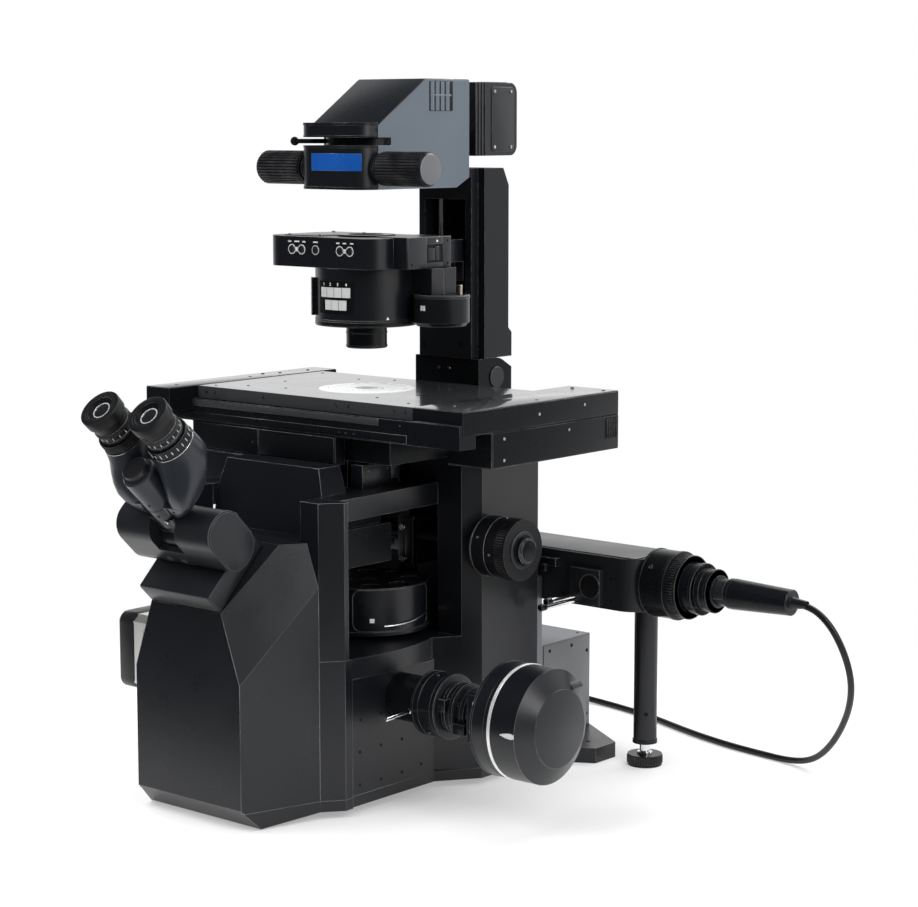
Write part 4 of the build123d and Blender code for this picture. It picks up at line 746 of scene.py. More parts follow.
def cap_screw(radius: float, height: float) -> Form:
    """A socket head screw, standing on its own origin.

    Args:
        radius: Head radius.
        height: Head height.

    Returns:
        The shape.
    """
    socket = radius * 0.5
    return Form().turned([(-0.4, radius), (height * 0.8, radius), (height, radius * 0.85), (height, socket),
                          (height * 0.35, socket), (height * 0.35, 0)], (0, 0, 0), Z, 18)


def dark_hole(radius: float) -> Form:
    """A shallow recessed screw: a raised lip round a dark dish, painted shade standing in for the depth of the hole."""
    return Form().turned([(-0.3, radius), (0.25, radius), (0.25, radius * 0.75), (0.05, radius * 0.7), (0.05, 0)],
                         (0, 0, 0), Z, 14)


def rib(length: float, width: float, height: float) -> Form:
    """A rounded rib lying along its own X, rising along Z.

    Args:
        length: Along its own X.
        width: Across.
        height: How far it stands out.

    Returns:
        The rib.
    """
    outline = [(-width / 2, -0.4), (width / 2, -0.4), (width / 2, height * 0.5), (width / 4, height),
               (-width / 4, height), (-width / 2, height * 0.5)]
    return Form().plate(outline, (-length / 2, 0, 0), Y, X, length, 0)


def rounded(width: float, height: float, radius: float, steps: int = 5) -> list[Pair]:
    """The outline of a rounded rectangle about its middle.

    Args:
        width: Full width.
        height: Full height.
        radius: Corner radius.
        steps: Facets in each corner.

    Returns:
        The corners in order.
    """
    points = []
    for quarter, (sx, sy) in enumerate(((1, 1), (-1, 1), (-1, -1), (1, -1))):
        for i in range(steps + 1):
            a = math.pi / 2 * (quarter + i / steps)
            points.append((sx * (width / 2 - radius) + radius * math.cos(a),
                           sy * (height / 2 - radius) + radius * math.sin(a)))
    return points


def numeral(text: str, origin: Vector, across: Vector, out: Vector, height: float) -> bpy.types.Mesh:
    """A plain raised numeral as a mesh in the row frame.

    Args:
        text: The numeral.
        origin: Its middle, in millimetres about the optical axis.
        across: The reading direction.
        out: The direction it faces.
        height: Its height in millimetres.

    Returns:
        The mesh.
    """
    curve = bpy.data.curves.new("numeral", "FONT")
    curve.body, curve.size, curve.extrude = text, height * 1.4 * MM, 0.12 * MM
    curve.align_x, curve.align_y = "CENTER", "CENTER"
    holder = bpy.data.objects.new("numeral", curve)
    bpy.context.scene.collection.objects.link(holder)
    mesh = bpy.data.meshes.new_from_object(holder.evaluated_get(bpy.context.evaluated_depsgraph_get()))
    bpy.data.objects.remove(holder)
    bpy.data.curves.remove(curve)
    up = out.cross(across)
    turn = Matrix((across, up, out)).transposed().to_4x4()
    mesh.transform(Matrix.Translation(at(*origin)) @ turn)
    return mesh


def screws(repeat: Repeat, name: str, body: str, places: Iterable[Place], radius: float = 2.2, height: float = 1.0,
           finish: Finish | None = None) -> None:
    """Set socket head screws."""
    repeat.make(cap_screw(radius, height), places, name, body, finish or SCREW)


def holes(repeat: Repeat, name: str, body: str, places: Iterable[Place], radius: float = 2.0) -> None:
    """Set recessed screws whose depth is painted shade in a dark dish."""
    repeat.make(dark_hole(radius), places, name, body, DARK)


@dataclass
class LampHead:
    """The lamp head on top of the pillar, with its nose, grips and lamp housing."""

    repeat: Repeat
    half: float = 51.0
    front: float = -35.0
    lip_z: float = 734.0
    roof_y: float = 44.0
    top: float = 786.0
    back: float = 119.0
    skin: float = 0.8
    inset: float = 0.5
    nose_half: float = 50.0
    nose_front: float = -62.0
    nose_radius: float = 24.0
    plate_left: float = -24.0
    plate_turn: float = 48.0
    plate_z: Pair = (685.5, 704.5)
    rims: Rows = ((665.0, 3.0, 0.6), (710.4, 2.6, 0.5), (722.0, 2.2, 0.5), (735.0, 3.0, 0.7))
    nose_screws: Rows = ((-39, 671), (-37, 730))
    louvre: tuple[float, float, float, float] = (50.0, 90.0, 751.0, 784.0)
    slat_first: float = 4.6
    slat_pitch: float = 8.6
    slat_count: int = 4
    bar_z: Pair = (767.5, 769.3)
    grip_axis: Pair = (-32.0, 688.0)
    grip_radius: float = 18.0
    grip_span: Pair = (59.0, 121.0)
    grip_ribs: int = 34
    neck_x: float = 50.8
    neck: Rows = ((0, 16.2), (3.4, 16.2), (4.2, 15.4), (6.4, 15.4))
    cap_x: float = 123.9
    cap: Rows = ((0, 16.6), (0.9, 16.2), (1.1, 15.5), (1.1, 0))
    barrel: Rows = ((0, 25.6), (4, 25.6), (5, 24.6), (14, 24.6), (15, 25.6), (19.6, 25.6))
    lamp_half: float = 44.0
    lamp_axis_z: float = 742.0
    lamp_back: float = 214.0
    lamp_slats: int = 9
    lamp_pitch: float = 6.0

    def build(self) -> None:
        """Make the head's fittings."""
        self._roof()
        self._nose()
        self._louvre()
        self._grips()
        self._lamp()

    def _roof(self) -> None:
        """The smooth black skin over the slope and the top."""
        run, rise = self.roof_y - self.front, self.top - self.lip_z
        slope = Vector((0, run, rise))
        out = Vector((0, -rise, run)).normalized()
        middle = Vector((0, self.front, self.lip_z)) + slope / 2
        edge = self.half - self.inset
        form = Form().plate(rounded(2 * edge, slope.length, 2), middle, X, out, self.skin)
        form.box(-edge, edge, self.roof_y, self.back - self.inset, self.top - SUNK, self.top + self.skin, 0.3)
        form.piece("head_roof", "pillar", COVER)

    def _nose(self) -> None:
        """The bare blue plate round the nose, its rims and its screws."""
        flat = self.nose_half - self.nose_radius
        middle = Vector((flat, self.nose_front + self.nose_radius, 0))
        path = [(Vector((self.plate_left, self.nose_front, 0)), -Y)]
        path += arc(middle, -Y, X, self.nose_radius, (0, self.plate_turn))
        low, high = self.plate_z
        Form().ribbon(lifted(path, low), Z, high - low, 0.5).piece("nose_plate", "pillar", BLUE)
        rim = [(Vector((-self.nose_half, self.front, 0)), -X)]
        rim += arc((-flat, middle.y, 0), -X, -Y, self.nose_radius, (0, 90))
        rim += arc(middle, -Y, X, self.nose_radius, (0, 90))
        rim.append((Vector((self.nose_half, self.front, 0)), X))
        form = Form()
        for z, height, thick in self.rims:
            form.ribbon(lifted(rim, z), Z, height, thick)
        form.piece("nose_rims", "pillar", ANODISED)
        points = [(self.nose_half, y, z) for y, z in self.nose_screws]
        holes(self.repeat, "nose_screws", "pillar", facing(points, X, Y), 1.6)

    def _louvre(self) -> None:
        """The vent in both cheeks: a dark bed with slats and a bar across; the bed is painted shade standing in for the
        vent's depth.
        """
        y0, y1, z0, z1 = self.louvre
        face = self.half + 0.4
        # Dark bed: painted shade for the depth of the vent behind the slats.
        Form().pair(self.half - 0.6, face, y0, y1, z0, z1, 0.2).piece("louvre_beds", "pillar", DARK)
        first = y0 + self.slat_first
        points = [(face, first + i * self.slat_pitch, (z0 + z1) / 2) for i in range(self.slat_count)]
        slat = rib(z1 - z0 - 1, 6.2, 1.0)
        self.repeat.make(slat, both_sides(points, Z), "louvre_slats", "pillar", CHEEK)
        bars = Form().pair(self.half, self.half + 1.6, y0 + 1, y1 - 4, *self.bar_z, 0.2)
        bars.piece("louvre_bars", "pillar", CHEEK)

    def _grips(self) -> None:
        """Ribs, necks and end caps of the two grips."""
        y, z = self.grip_axis
        low, high = self.grip_span
        ribs: list[Place] = []
        caps, necks = Form(), Form()
        for side in SIDES:
            ribs += around((side * (low + high) / 2, y, z), X, self.grip_radius, self.grip_ribs)
            caps.turned(self.cap, (side * self.cap_x, y, z), X * side)
            necks.turned(self.neck, (side * self.neck_x, y, z), X * side)
        self.repeat.make(rib(high - low, 1.9, 0.9), ribs, "grip_ribs", "pillar", GRIP)
        caps.piece("grip_caps", "pillar", END_GREY)
        necks.piece("grip_necks", "pillar", ANODISED)

    def _lamp(self) -> None:
        """The bright barrel, cover plates, rear vents and screws of the lamp housing."""
        z, half, back = self.lamp_axis_z, self.lamp_half, self.lamp_back
        Form().turned(self.barrel, (0, self.back, z), Y).piece("lamp_barrel", "pillar", SILVER)
        plates = Form()
        for side in SIDES:
            plates.plate(rounded(40, 74, 4), (side * half, 187, z), Y, X * side, 1.0)
        plates.plate(rounded(72, 40, 4), (0, 188, z + 42), X, Z, 0.9)
        plates.piece("lamp_cover_plates", "pillar", CHARCOAL)
        # Dark bed: painted shade for the depth of the rear vent behind the slats.
        bed = Form().plate(rounded(62, 60, 3), (0, back - 0.4, z), X, Y, 0.8)
        bed.piece("lamp_vent_bed", "pillar", DARK)
        low = z - self.lamp_pitch * (self.lamp_slats - 1) / 2
        slats = [(0, back, low + self.lamp_pitch * i) for i in range(self.lamp_slats)]
        self.repeat.make(rib(58, 2.6, 1.4), facing(slats, Y, X), "lamp_vent_slats", "pillar", CASTING)
        points = [(half + 1.0, y, h) for y in (172, 202) for h in (z - 32, z + 32)]
        screws(self.repeat, "lamp_screws", "pillar", both_sides(points, Y), 1.8, 0.8, STEEL)


@dataclass
class PillarDress:
    """Screws, rack, rear cover and hinge fittings of the lamp pillar."""

    repeat: Repeat
    front: float = 136.0
    front_screws: Rows = ((-33, 478), (24, 481))
    channel_back: float = 180.0
    channel: Pair = (503.0, 650.0)
    rack_x: Pair = (-1.0, 13.0)
    rack_depth: float = 4.5
    teeth: int = 48
    back: float = 192.0
    hinge: Pair = (171.0, 442.0)
    hinge_half: float = 49.8
    hinge_cap: Rows = ((0, 12.5), (0.5, 12.5), (1.0, 12.0), (1.0, 0))
    hinge_screws: Rows = ((-12, 139, 452), (4, 139, 452))

    def build(self) -> None:
        """Make the pillar's fittings."""
        points = [(x, self.front, z) for x, z in self.front_screws]
        holes(self.repeat, "pillar_front_screws", "pillar", facing(points, -Y, X), 4.2)
        self._rack()
        cover = Form().plate(rounded(78, 168, 5), (0, self.back - SUNK, 580), X, Y, 1.4)
        cover.plate(rounded(24, 30, 4), (0, self.back + 1.0, 522), X, Y, 1.2)
        cover.piece("pillar_rear_cover", "pillar", CASTING)
        points = [(x, self.back + 1.2, z) for x in (-32, 32) for z in (504, 580, 656)]
        screws(self.repeat, "pillar_rear_screws", "pillar", facing(points, Y, X), 2.4, 1.2, STEEL)
        caps = Form()
        for side in SIDES:
            caps.turned(self.hinge_cap, (side * self.hinge_half, *self.hinge), X * side)
        caps.piece("hinge_caps", "stand", END_DARK)
        screws(self.repeat, "hinge_screws", "stand", facing(self.hinge_screws, -Y, X), 2.2, 1.4)

    def _rack(self) -> None:
        """The toothed rack at the back of the pillar's channel."""
        low, high = self.channel
        left, right = self.rack_x
        face = self.channel_back - self.rack_depth
        rack = Form().box(left, right, face, self.channel_back + 0.5, low, high, 0.4)
        rack.piece("rack_bar", "pillar", STEEL)
        pitch = (high - low) / self.teeth
        points = [((left + right) / 2, face - 0.1, low + pitch * (i + 0.5)) for i in range(self.teeth)]
        self.repeat.make(rib(12, 1.7, 1.3), facing(points, -Y, X), "rack_teeth", "pillar", STEEL)


@dataclass
class CondenserDress:
    """Keys' surrounds, windows, display, rings and polariser marks of the condenser."""

    repeat: Repeat
    top: float = 612.0
    face_y: float = -57.0
    key_x: tuple[float, ...] = (-60.5, -45.5, -24.0, 13.0, 28.0)
    key_z: float = 597.5
    single_key: int = 2
    key_pairs: tuple[tuple[int, int], ...] = ((0, 1), (3, 4))
    key_marks: Rows = ((-64, 5), (-53, 8), (-42, 5), (-24, 7), (10, 5), (20, 5), (31, 5))
    key_marks_z: Pair = (605.4, 607.0)
    housing_radius: float = 57.5
    window_rows: Rows = ((-17.0, 25.0, 4, 546.0, 557.0), (-9.5, 20.5, 3, 532.0, 543.0))
    numbers: tuple[float, ...] = (-11.75, -1.25, 9.25, 19.75)
    numbers_z: float = 560.3
    housing_rims: Rows = ((519.8, 1.0, 0.7), (514, 4.6, 0.6))
    index_angle: float = 66.5
    index_mark: Rows = ((-1.8, -1.6), (1.8, -1.6), (0, 1.8))
    index_z: float = 523.2
    side_x: float = 82.0
    display: tuple[float, ...] = (9, 36, 584, 604.5)
    side_plates: Rows = (
        (-22.5, 9, 578.4, 612.6), (36, 49.6, 578.4, 612.6), (9, 36, 578.4, 584), (9, 36, 604.5, 612.6))
    side_screws: Rows = ((-16, 583), (44, 583), (44, 608))
    top_ring: Rows = ((0, 20.2), (0, 33), (1.6, 33), (2.2, 32.4), (2.2, 21), (1.4, 20.2), (0, 20.2))
    lens_z: float = 486.6
    lens_ring: Rows = ((0, 15), (0, 22.4), (1.4, 23.6), (3.2, 23.6), (3.6, 23.1), (3.6, 15), (0, 15))
    lens: Rows = ((-1.6, 0), (-1.3, 6), (-0.4, 11.5), (0.6, 15), (0.8, 0))
    drum: Pair = (85.0, 31.0)
    drum_radius: float = 31.5
    drum_marks: tuple[float, ...] = (-6.0, 0.5)
    lower_rim: Rows = ((0, 26.4), (0, 27.4), (0.9, 28.4), (1.2, 27.8), (1.2, 26.4), (0, 26.4))
    pin: Rows = ((0, 3.1), (7, 3.1), (7.6, 3.3), (10.8, 3.3), (11.3, 2.8), (11.3, 0))

    def build(self) -> None:
        """Make the condenser's fittings."""
        self._keys()
        self._windows()
        self._side_box()
        self._rings()
        self._polariser()

    def _keys(self) -> None:
        """White surrounds, the outer keys joined in pairs, and the bare marks above them."""
        y, z = self.face_y, self.key_z
        form, marks = Form(), Form()
        for i, x in enumerate(self.key_x):
            inner, outer = (4.7, 5.3) if i == self.single_key else (4.6, 5.6)
            ring = [(0, inner), (0, outer), (0.7, outer), (0.7, inner), (0, inner)]
            form.turned(ring, (x, y + SUNK, z), -Y, 28)
        for a, b in self.key_pairs:
            middle = (self.key_x[a] + self.key_x[b]) / 2
            form.box(middle - 3.4, middle + 3.4, y - 0.5, y + SUNK, z - 2.4, z + 2.4, 0.2)
        form.piece("key_surrounds", "condenser", PALE)
        for x, width in self.key_marks:
            marks.box(x - width / 2, x + width / 2, y - 0.25, y + SUNK, *self.key_marks_z, 0)
        marks.piece("key_marks", "condenser", PALE)

    def _band(self, form: Form, z: float, height: float, thick: float, angles: Pair,
              steps: int) -> None:
        """Add a band round the housing, from its lower edge, between two angles from the front."""
        form.ribbon(arc((0, 0, z), -Y, X, self.housing_radius, angles, steps), Z, height, thick)

    def _windows(self) -> None:
        """The numbered windows of the phase turret, the tab, the rims and the index mark."""
        bed, cells, tab = Form(), Form(), Form()
        self._band(bed, 528, 36, 0.4, (-21, 29), 16)
        bed.piece("window_bed", "condenser", DARK)
        for first, last, count, z0, z1 in self.window_rows:
            step = (last - first) / count
            for i in range(int(count)):
                self._band(cells, z0, z1 - z0, 0.8, (first + i * step + 0.3, first + (i + 1) * step - 0.3), 4)
        cells.piece("window_cells", "condenser", PALE)
        self._numbers()
        self._band(tab, 524, 42, 5.0, (-47, -36), 4)
        for z, height, thick in self.housing_rims:
            self._band(tab, z, height, thick, (-180, 180), 72)
        tab.piece("housing_tab_and_rim", "condenser", ANODISED)
        out = outward(self.index_angle)
        middle = out * (self.housing_radius + 0.4) + Z * self.index_z
        mark = Form().plate(self.index_mark, middle, Z.cross(out), out, 0.5, 0)
        mark.piece("housing_index", "condenser", WHITE)

    def _numbers(self) -> None:
        """Plain numerals above the windows."""
        holder = bmesh.new()
        for i, angle in enumerate(self.numbers, 1):
            out = outward(angle)
            middle = Vector((0, 0, self.numbers_z)) + out * (self.housing_radius + 0.5)
            mesh = numeral(str(i), middle, Z.cross(out), out, 3.4)
            holder.from_mesh(mesh)
            bpy.data.meshes.remove(mesh)
        mesh = bpy.data.meshes.new("window_numbers")
        holder.to_mesh(mesh)
        holder.free()
        dress(mesh, "window_numbers", "condenser", WHITE)

    def _side_box(self) -> None:
        """The plates of the side box with its small display."""
        x = self.side_x
        form = Form()
        for row in self.side_plates:
            form.box(x - 0.3, x + 0.9, *row, 0.15)
        form.piece("side_box_plates", "condenser", CHARCOAL)
        Form().box(x - SUNK, x + 0.3, *self.display, 0).piece("display_bed", "condenser", DARK)
        bars = Form().box(x, x + 0.6, 12, 23, 587, 600, 0.2).box(x, x + 0.7, 24.5, 30, 586.5, 602, 0.2)
        bars.piece("display_bars", "condenser", END_DARK)
        points = [(x + 0.9, y, z) for y, z in self.side_screws]
        holes(self.repeat, "side_box_screws", "condenser", facing(points, X, Y), 1.5)
        dot = Form().turned([(0, 1.5), (0.5, 1.4), (0.5, 0)], (x + 0.8, 26, 608), X, 12)
        dot.piece("display_dot", "condenser", WHITE)

    def _rings(self) -> None:
        """Rings on top and round the lens, and the lens itself."""
        top = Form().turned(self.top_ring, (0, 0, self.top - SUNK), Z)
        top.plate(rounded(60, 90, 10), (-60, 0, self.top - SUNK), X, Z, 1.0)
        top.piece("condenser_top_ring", "condenser", ANODISED)
        points = [(x, y, self.top + 0.8) for x in (-84, -36) for y in (-36, 36)]
        screws(self.repeat, "condenser_top_screws", "condenser", facing(points, Z, X), 2.2, 1.0, STEEL)
        rings = Form().turned(self.lens_ring, (0, 0, self.lens_z), Z)
        rings.turned([(0, 23.5), (1.6, 23.5)], (0, 0, 503), Z).piece("condenser_lens_rings", "condenser", ANODISED)
        lens = Form().turned(self.lens, (0, 0, self.lens_z + 0.8), Z)
        lens.piece("condenser_front_lens", "condenser", GLASS)

    def _polariser(self) -> None:
        """The drum's marks, rims and pin."""
        x, y = self.drum
        r = self.drum_radius
        marks = Form()
        for a in self.drum_marks:
            marks.ribbon(arc((x, y, 532), -Y, X, r, (a, a + 5.2), 3), Z, 5.5, 0.35)
        marks.piece("drum_marks", "polariser", PALE)
        upper_rim = [(0, r + 0.05), (0.3, r + 0.5), (3.2, r + 0.5), (3.6, r + 0.05)]
        rims = Form().turned(upper_rim, (x, y, 544.6), Z, 64).turned(self.lower_rim, (x, y, 513.6), Z, 64)
        rims.piece("drum_rims", "polariser", END_DARK)
        Form().turned(self.pin, (x + r - 5, y, 549), Z, 20).piece("drum_pin", "polariser", BRASS)


@dataclass
class StageDress:
    """Screws, covers, vent and specimen ring of the stage."""

    repeat: Repeat
    top: float = 440.0
    right: float = 233.0
    front: float = -105.0
    bar_front: float = -112.0
    skin: float = 0.6
    edge_screws: tuple[float, ...] = (-152, -138, -60, 52, 70, 136, 152)
    plate_holes: Rows = (
        (-120, -70), (-70, -60), (-120, -10), (-70, 62), (-30, 80), (72, -62), (96, -20), (96, 40), (62, 76),
        (134, -80), (134, 84), (-150, 84), (-150, -92))
    inner_ring: Rows = ((0, 13.2), (0, 19), (0.3, 19.3), (0.7, 19), (0.7, 13.6), (0, 13.2))
    outer_ring: Rows = ((0, 44), (0, 46), (0.35, 45.6), (0.35, 44.4), (0, 44))
    flange_screws: Rows = ((-184, -4), (-197, 30), (-189, 51), (-186, -120), (-186, 96))
    block_screws: Rows = ((190, -96), (222, -96), (222, 30), (222, 150), (178, 150))
    top_plates: Rows = ((164, 232.6, -106.6, 162.6), (-204.6, -168, -148.6, 125.6))
    motor_y: Pair = (-58.4, 162.6)
    motor_z: Pair = (376, 412.8)
    motor_screws: Rows = ((0.7, 20, 427), (0.7, 100, 430), (0.9, 72, 405), (0.9, -40, 383), (0.9, -40, 406))
    vent_slats: int = 6
    apron_z: Pair = (371, 399)
    slot_z: Pair = (396, 398.4)
    bar_screws: Rows = ((-70, 0.9, 384), (62, 0.7, 406), (72, 0.7, 406), (84, 0.7, 406), (150, 0, 420))

    def build(self) -> None:
        """Make the stage's fittings."""
        edge = [(x, self.front, 434) for x in self.edge_screws]
        screws(self.repeat, "plate_edge_screws", "plate", facing(edge, -Y, X), 1.5, 0.7)
        holes(self.repeat, "plate_holes", "plate", facing([(*p, self.top) for p in self.plate_holes], Z, X), 1.7)
        rings = Form().turned(self.inner_ring, (0, 0, self.top - SUNK), Z)
        rings.turned(self.outer_ring, (0, 0, self.top - 0.1), Z, 72).piece("insert_rings", "plate", WHITE)
        high = self.top + self.skin
        holes(self.repeat, "flange_screws", "carriage", facing([(*p, high) for p in self.flange_screws], Z, X), 2.0)
        self._motor()
        self._apron()
        holes(self.repeat, "block_top_screws", "carriage", facing([(*p, high) for p in self.block_screws], Z, X), 2.0)
        raised = Form()
        for row in self.top_plates:
            raised.box(*row, self.top - SUNK, high, 0.2)
        raised.piece("carriage_top_plates", "carriage", STAGE_TOP)

    def _motor(self) -> None:
        """The motor box's cover with its vent, screws and socket."""
        x = self.right
        y0, y1 = self.motor_y
        form = Form().box(x - 0.3, x + 0.9, y0, y1, *self.motor_z, 0.3)
        form.box(172.4, x, y0 - 1.4, y0 - SUNK, *self.motor_z, 0.3)
        form.box(x - 0.3, x + 0.7, -106.4, y1, 414.8, 439.4, 0.3)
        form.piece("motor_cover", "carriage", STAGE_BLACK)
        # Dark bed: painted shade for the depth of the vent behind the slats.
        Form().box(x + 0.5, x + 1.1, 139, 160, 388, 411, 0.1).piece("motor_vent_bed", "carriage", DARK)
        slats = [(x + 1.1, 141.2 + 3.4 * i, 399.5) for i in range(self.vent_slats)]
        self.repeat.make(rib(21, 1.5, 0.8), facing(slats, X, Z), "motor_vent_slats", "carriage", STAGE_BLACK)
        points = [(x + proud, y, z) for proud, y, z in self.motor_screws]
        screws(self.repeat, "motor_screws", "carriage", facing(points, X, Y), 1.6, 0.7, STEEL)
        points = [(x0, y1 + 0.4, z) for x0 in (180, 225) for z in (382, 408, 432)]
        screws(self.repeat, "motor_rear_screws", "carriage", facing(points, Y, X), 1.8, 0.8, STEEL)
        socket = Form().plate(rounded(30, 18, 3), (203, y1 + SUNK, 396), -X, Y, 3.0)
        socket.piece("motor_socket", "carriage", PLASTIC)

    def _apron(self) -> None:
        """Covers, rail, slots and screws along the front bar."""
        y = self.bar_front
        form = Form()
        for x0, x1 in ((-166, -62), (-60.5, 54.5)):
            form.box(x0, x1, y - 0.9, y + SUNK, *self.apron_z, 0.3)
        form.box(-200, 160, y - 0.7, y + SUNK, 401.5, 410.5, 0.2)
        form.piece("apron_covers", "carriage", STAGE_BLACK)
        Form().box(-198, 120, y - 1.3, y + SUNK, 417.5, 424.8).piece("front_rail", "carriage", STAGE_TOP)
        # The slots are thin dark boxes: painted shade instead of openings.
        slots = Form()
        for x0, x1 in ((-128, -112), (-36, -14)):
            slots.box(x0, x1, y - 1.1, y, *self.slot_z, 0.1)
        slots.piece("apron_slots", "carriage", DARK)
        points = [(x, y - proud, z) for x, proud, z in self.bar_screws]
        screws(self.repeat, "front_bar_screws", "carriage", facing(points, -Y, X), 1.5, 0.8)


@dataclass
class BayDress:
    """Door of the filter turret, slider, bearings and small fittings in the open bay."""

    repeat: Repeat
    turret: Pair = (32.0, -32.0)
    shroud_radius: float = 65.4
    shroud_skin: float = 1.4
    shroud_z: Pair = (177.0, 230.0)
    shroud_angles: Pair = (-75.0, 150.0)
    door: Pair = (26.0, 114.0)
    door_corner: Pair = (8.0, 9.0)
    bow_angles: Pair = (56.0, 112.0)
    bow_steps: int = 14
    pull: Rows = ((0, 5.4), (8, 5.4), (9, 4.6), (9, 3), (16, 3), (17, 5), (24, 5), (25, 4.2), (25, 0))
    pull_place: Point = (41.0, -146.2, 259.8)
    analyser_y: float = -147.2
    sensor_screws: Rows = ((80, -85, 362), (80, -55, 362), (80.4, -42, 362), (79, -34, 346))

    def build(self) -> None:
        """Make the bay's fittings."""
        self._shroud()
        self._slider()
        self._bearings()
        self._sensor()

    def _round(self, radius: float, z: float, angles: Pair, steps: int) -> list[Step]:
        """A path round the filter turret at a height, between two angles from the front."""
        return arc((*self.turret, z), -Y, X, radius, angles, steps)

    def _shroud(self) -> None:
        """The curved cover in front of the filter turret with its door."""
        r, (low, high) = self.shroud_radius, self.shroud_z
        face = r + self.shroud_skin
        path = self._round(r, low, self.shroud_angles, 72)
        shell = Form().ribbon(path, Z, high - low, self.shroud_skin).ribbon(path, Z, 4, 2.6)
        shell.piece("turret_shroud", "stand", CASTING)
        rim = Form().wire(self._door_line(face + 0.1), 0.7, closed=True, sides=6)
        rim.piece("door_rim", "stand", CHARCOAL)
        latch = Form().ribbon(self._round(face, 197, (33, 38), 3), Z, 16, 0.6)
        latch.piece("door_latch_bed", "stand", DARK)
        mark = Form().ribbon(self._round(face, 192, (42.5, 47), 3), Z, 4.6, 0.5)
        mark.piece("door_mark", "stand", WHITE)
        path = self._round(r + 3.0, 0, self.bow_angles, self.bow_steps)
        bow = [p + Z * (188 + 9 * (i / self.bow_steps) ** 2) for i, (p, _) in enumerate(path)]
        Form().wire(bow, 1.1).piece("door_bow", "stand", STEEL)

    def _door_line(self, radius: float) -> list[Vector]:
        """The door's rounded outline, bent round the shroud.

        Args:
            radius: The radius that it lies on.

        Returns:
            Its points in order.
        """
        first, last = self.door
        wide, tall = self.door_corner
        z0, z1 = self.shroud_z[0] + 5 + tall, self.shroud_z[1] - 1.5 - tall
        middle = Vector((*self.turret, 0))
        outline = []
        for z, angle, start in ((z0, last - wide, -90), (z1, last - wide, 0), (z1, first + wide, 90),
                                (z0, first + wide, 180)):
            for i in range(5):
                t = math.radians(start + 22.5 * i)
                out = outward(angle + wide * math.cos(t))
                outline.append(middle + Z * (z + tall * math.sin(t)) + out * radius)
        dense = []
        for a, b in zip(outline, outline[1:] + outline[:1]):
            for i in range(6):
                point = a.lerp(b, i / 6)
                out = Vector((point.x - middle.x, point.y - middle.y, 0)).normalized()
                dense.append(middle + Z * point.z + out * radius)
        return dense

    def _slider(self) -> None:
        """The analyser's slide bar with its pull."""
        y = self.analyser_y
        form = Form().box(24, 96, y, y + 2.4, 268, 302).box(30, 92, y + 0.6, y + 7.2, 256.5, 263.8, 0.8)
        form.piece("analyser_plate", "stand", CHARCOAL)
        Form().turned(self.pull, self.pull_place, -Y, 24).piece("analyser_pull", "stand", ANODISED)
        ring = Form().turned([(0, 3.5), (5, 3.5)], Vector(self.pull_place) - Y * 10.3, -Y, 24)
        ring.piece("analyser_pull_ring", "stand", CHROME)
        points = [(x, y, z) for x in (30, 90) for z in (273, 297)]
        screws(self.repeat, "analyser_screws", "stand", facing(points, -Y, X), 1.8, 0.8, STEEL)

    def _bearings(self) -> None:
        """Bearing blocks of the focus shaft with their bright screws."""
        form = Form().pair(44, 56, 14, 70.3, 240, 292, 1.5).pair(32, 56, 16, 21, 236, 296, 1.0)
        form.piece("focus_bearings", "stand", CASTING)
        points = [(side * 41, 16, z) for side in SIDES for z in (283, 246)]
        screws(self.repeat, "focus_bearing_screws", "stand", facing(points, -Y, X), 4.2, 3.8, CHROME)

    def _sensor(self) -> None:
        """The focus sensor under the stage with its plates."""
        Form().box(62, 79, -94, -32, 342, 369, 1.0).piece("focus_sensor", "stand", CASTING)
        plates = Form().box(78.6, 80, -88, -52, 346, 365, 0.4).box(78.6, 80.4, -49, -36, 350, 366, 0.4)
        plates.piece("focus_sensor_plates", "stand", CHARCOAL)
        screws(self.repeat, "focus_sensor_screws", "stand", facing(self.sensor_screws, X, Y), 1.4, 0.7)


@dataclass
class StandDress:
    """Screws, panels and a cable cover on the stand's sides, back and roof."""

    repeat: Repeat
    side: float = 121.0
    back: float = 120.0
    panel_screws: Rows = (
        (-145.6, 67), (-146, 30.6), (-112, 68), (-112, 30), (-78, 68), (-78, 30.5), (-46, 33), (-142, 140),
        (-144, 102), (-112, 103.6))
    cover_outline: Rows = (
        (-158, 320), (-112.2, 320), (-112.2, 341.8), (-83, 341.8), (-83, 368), (-158, 368))
    cover_back: float = -52.0
    cover_depth: float = 60.0
    riser: tuple[float, ...] = (-158, -83, -94, -52, 368, 371.6)

    def build(self) -> None:
        """Make the stand's fittings."""
        points = [(self.side, y, z) for y, z in self.panel_screws]
        holes(self.repeat, "side_panel_screws", "stand", both_sides(points, Y), 1.8)
        panels = Form()
        for side in SIDES:
            panels.plate(rounded(92, 128, 6), (side * 100, self.back - SUNK, 297), -X, Y, 1.6)
        panels.piece("rear_panels", "stand", CHARCOAL)
        points = [(x, self.back + 1.2, z) for x in (-140, -60, 60, 140) for z in (240, 354)]
        screws(self.repeat, "rear_panel_screws", "stand", facing(points, Y, X), 2.6, 1.2, STEEL)
        cover = Form().plate(self.cover_outline, (0, self.cover_back, 0), X, -Y, self.cover_depth, 1.2)
        cover.box(*self.riser).piece("roof_cable_cover", "stand", CASTING)


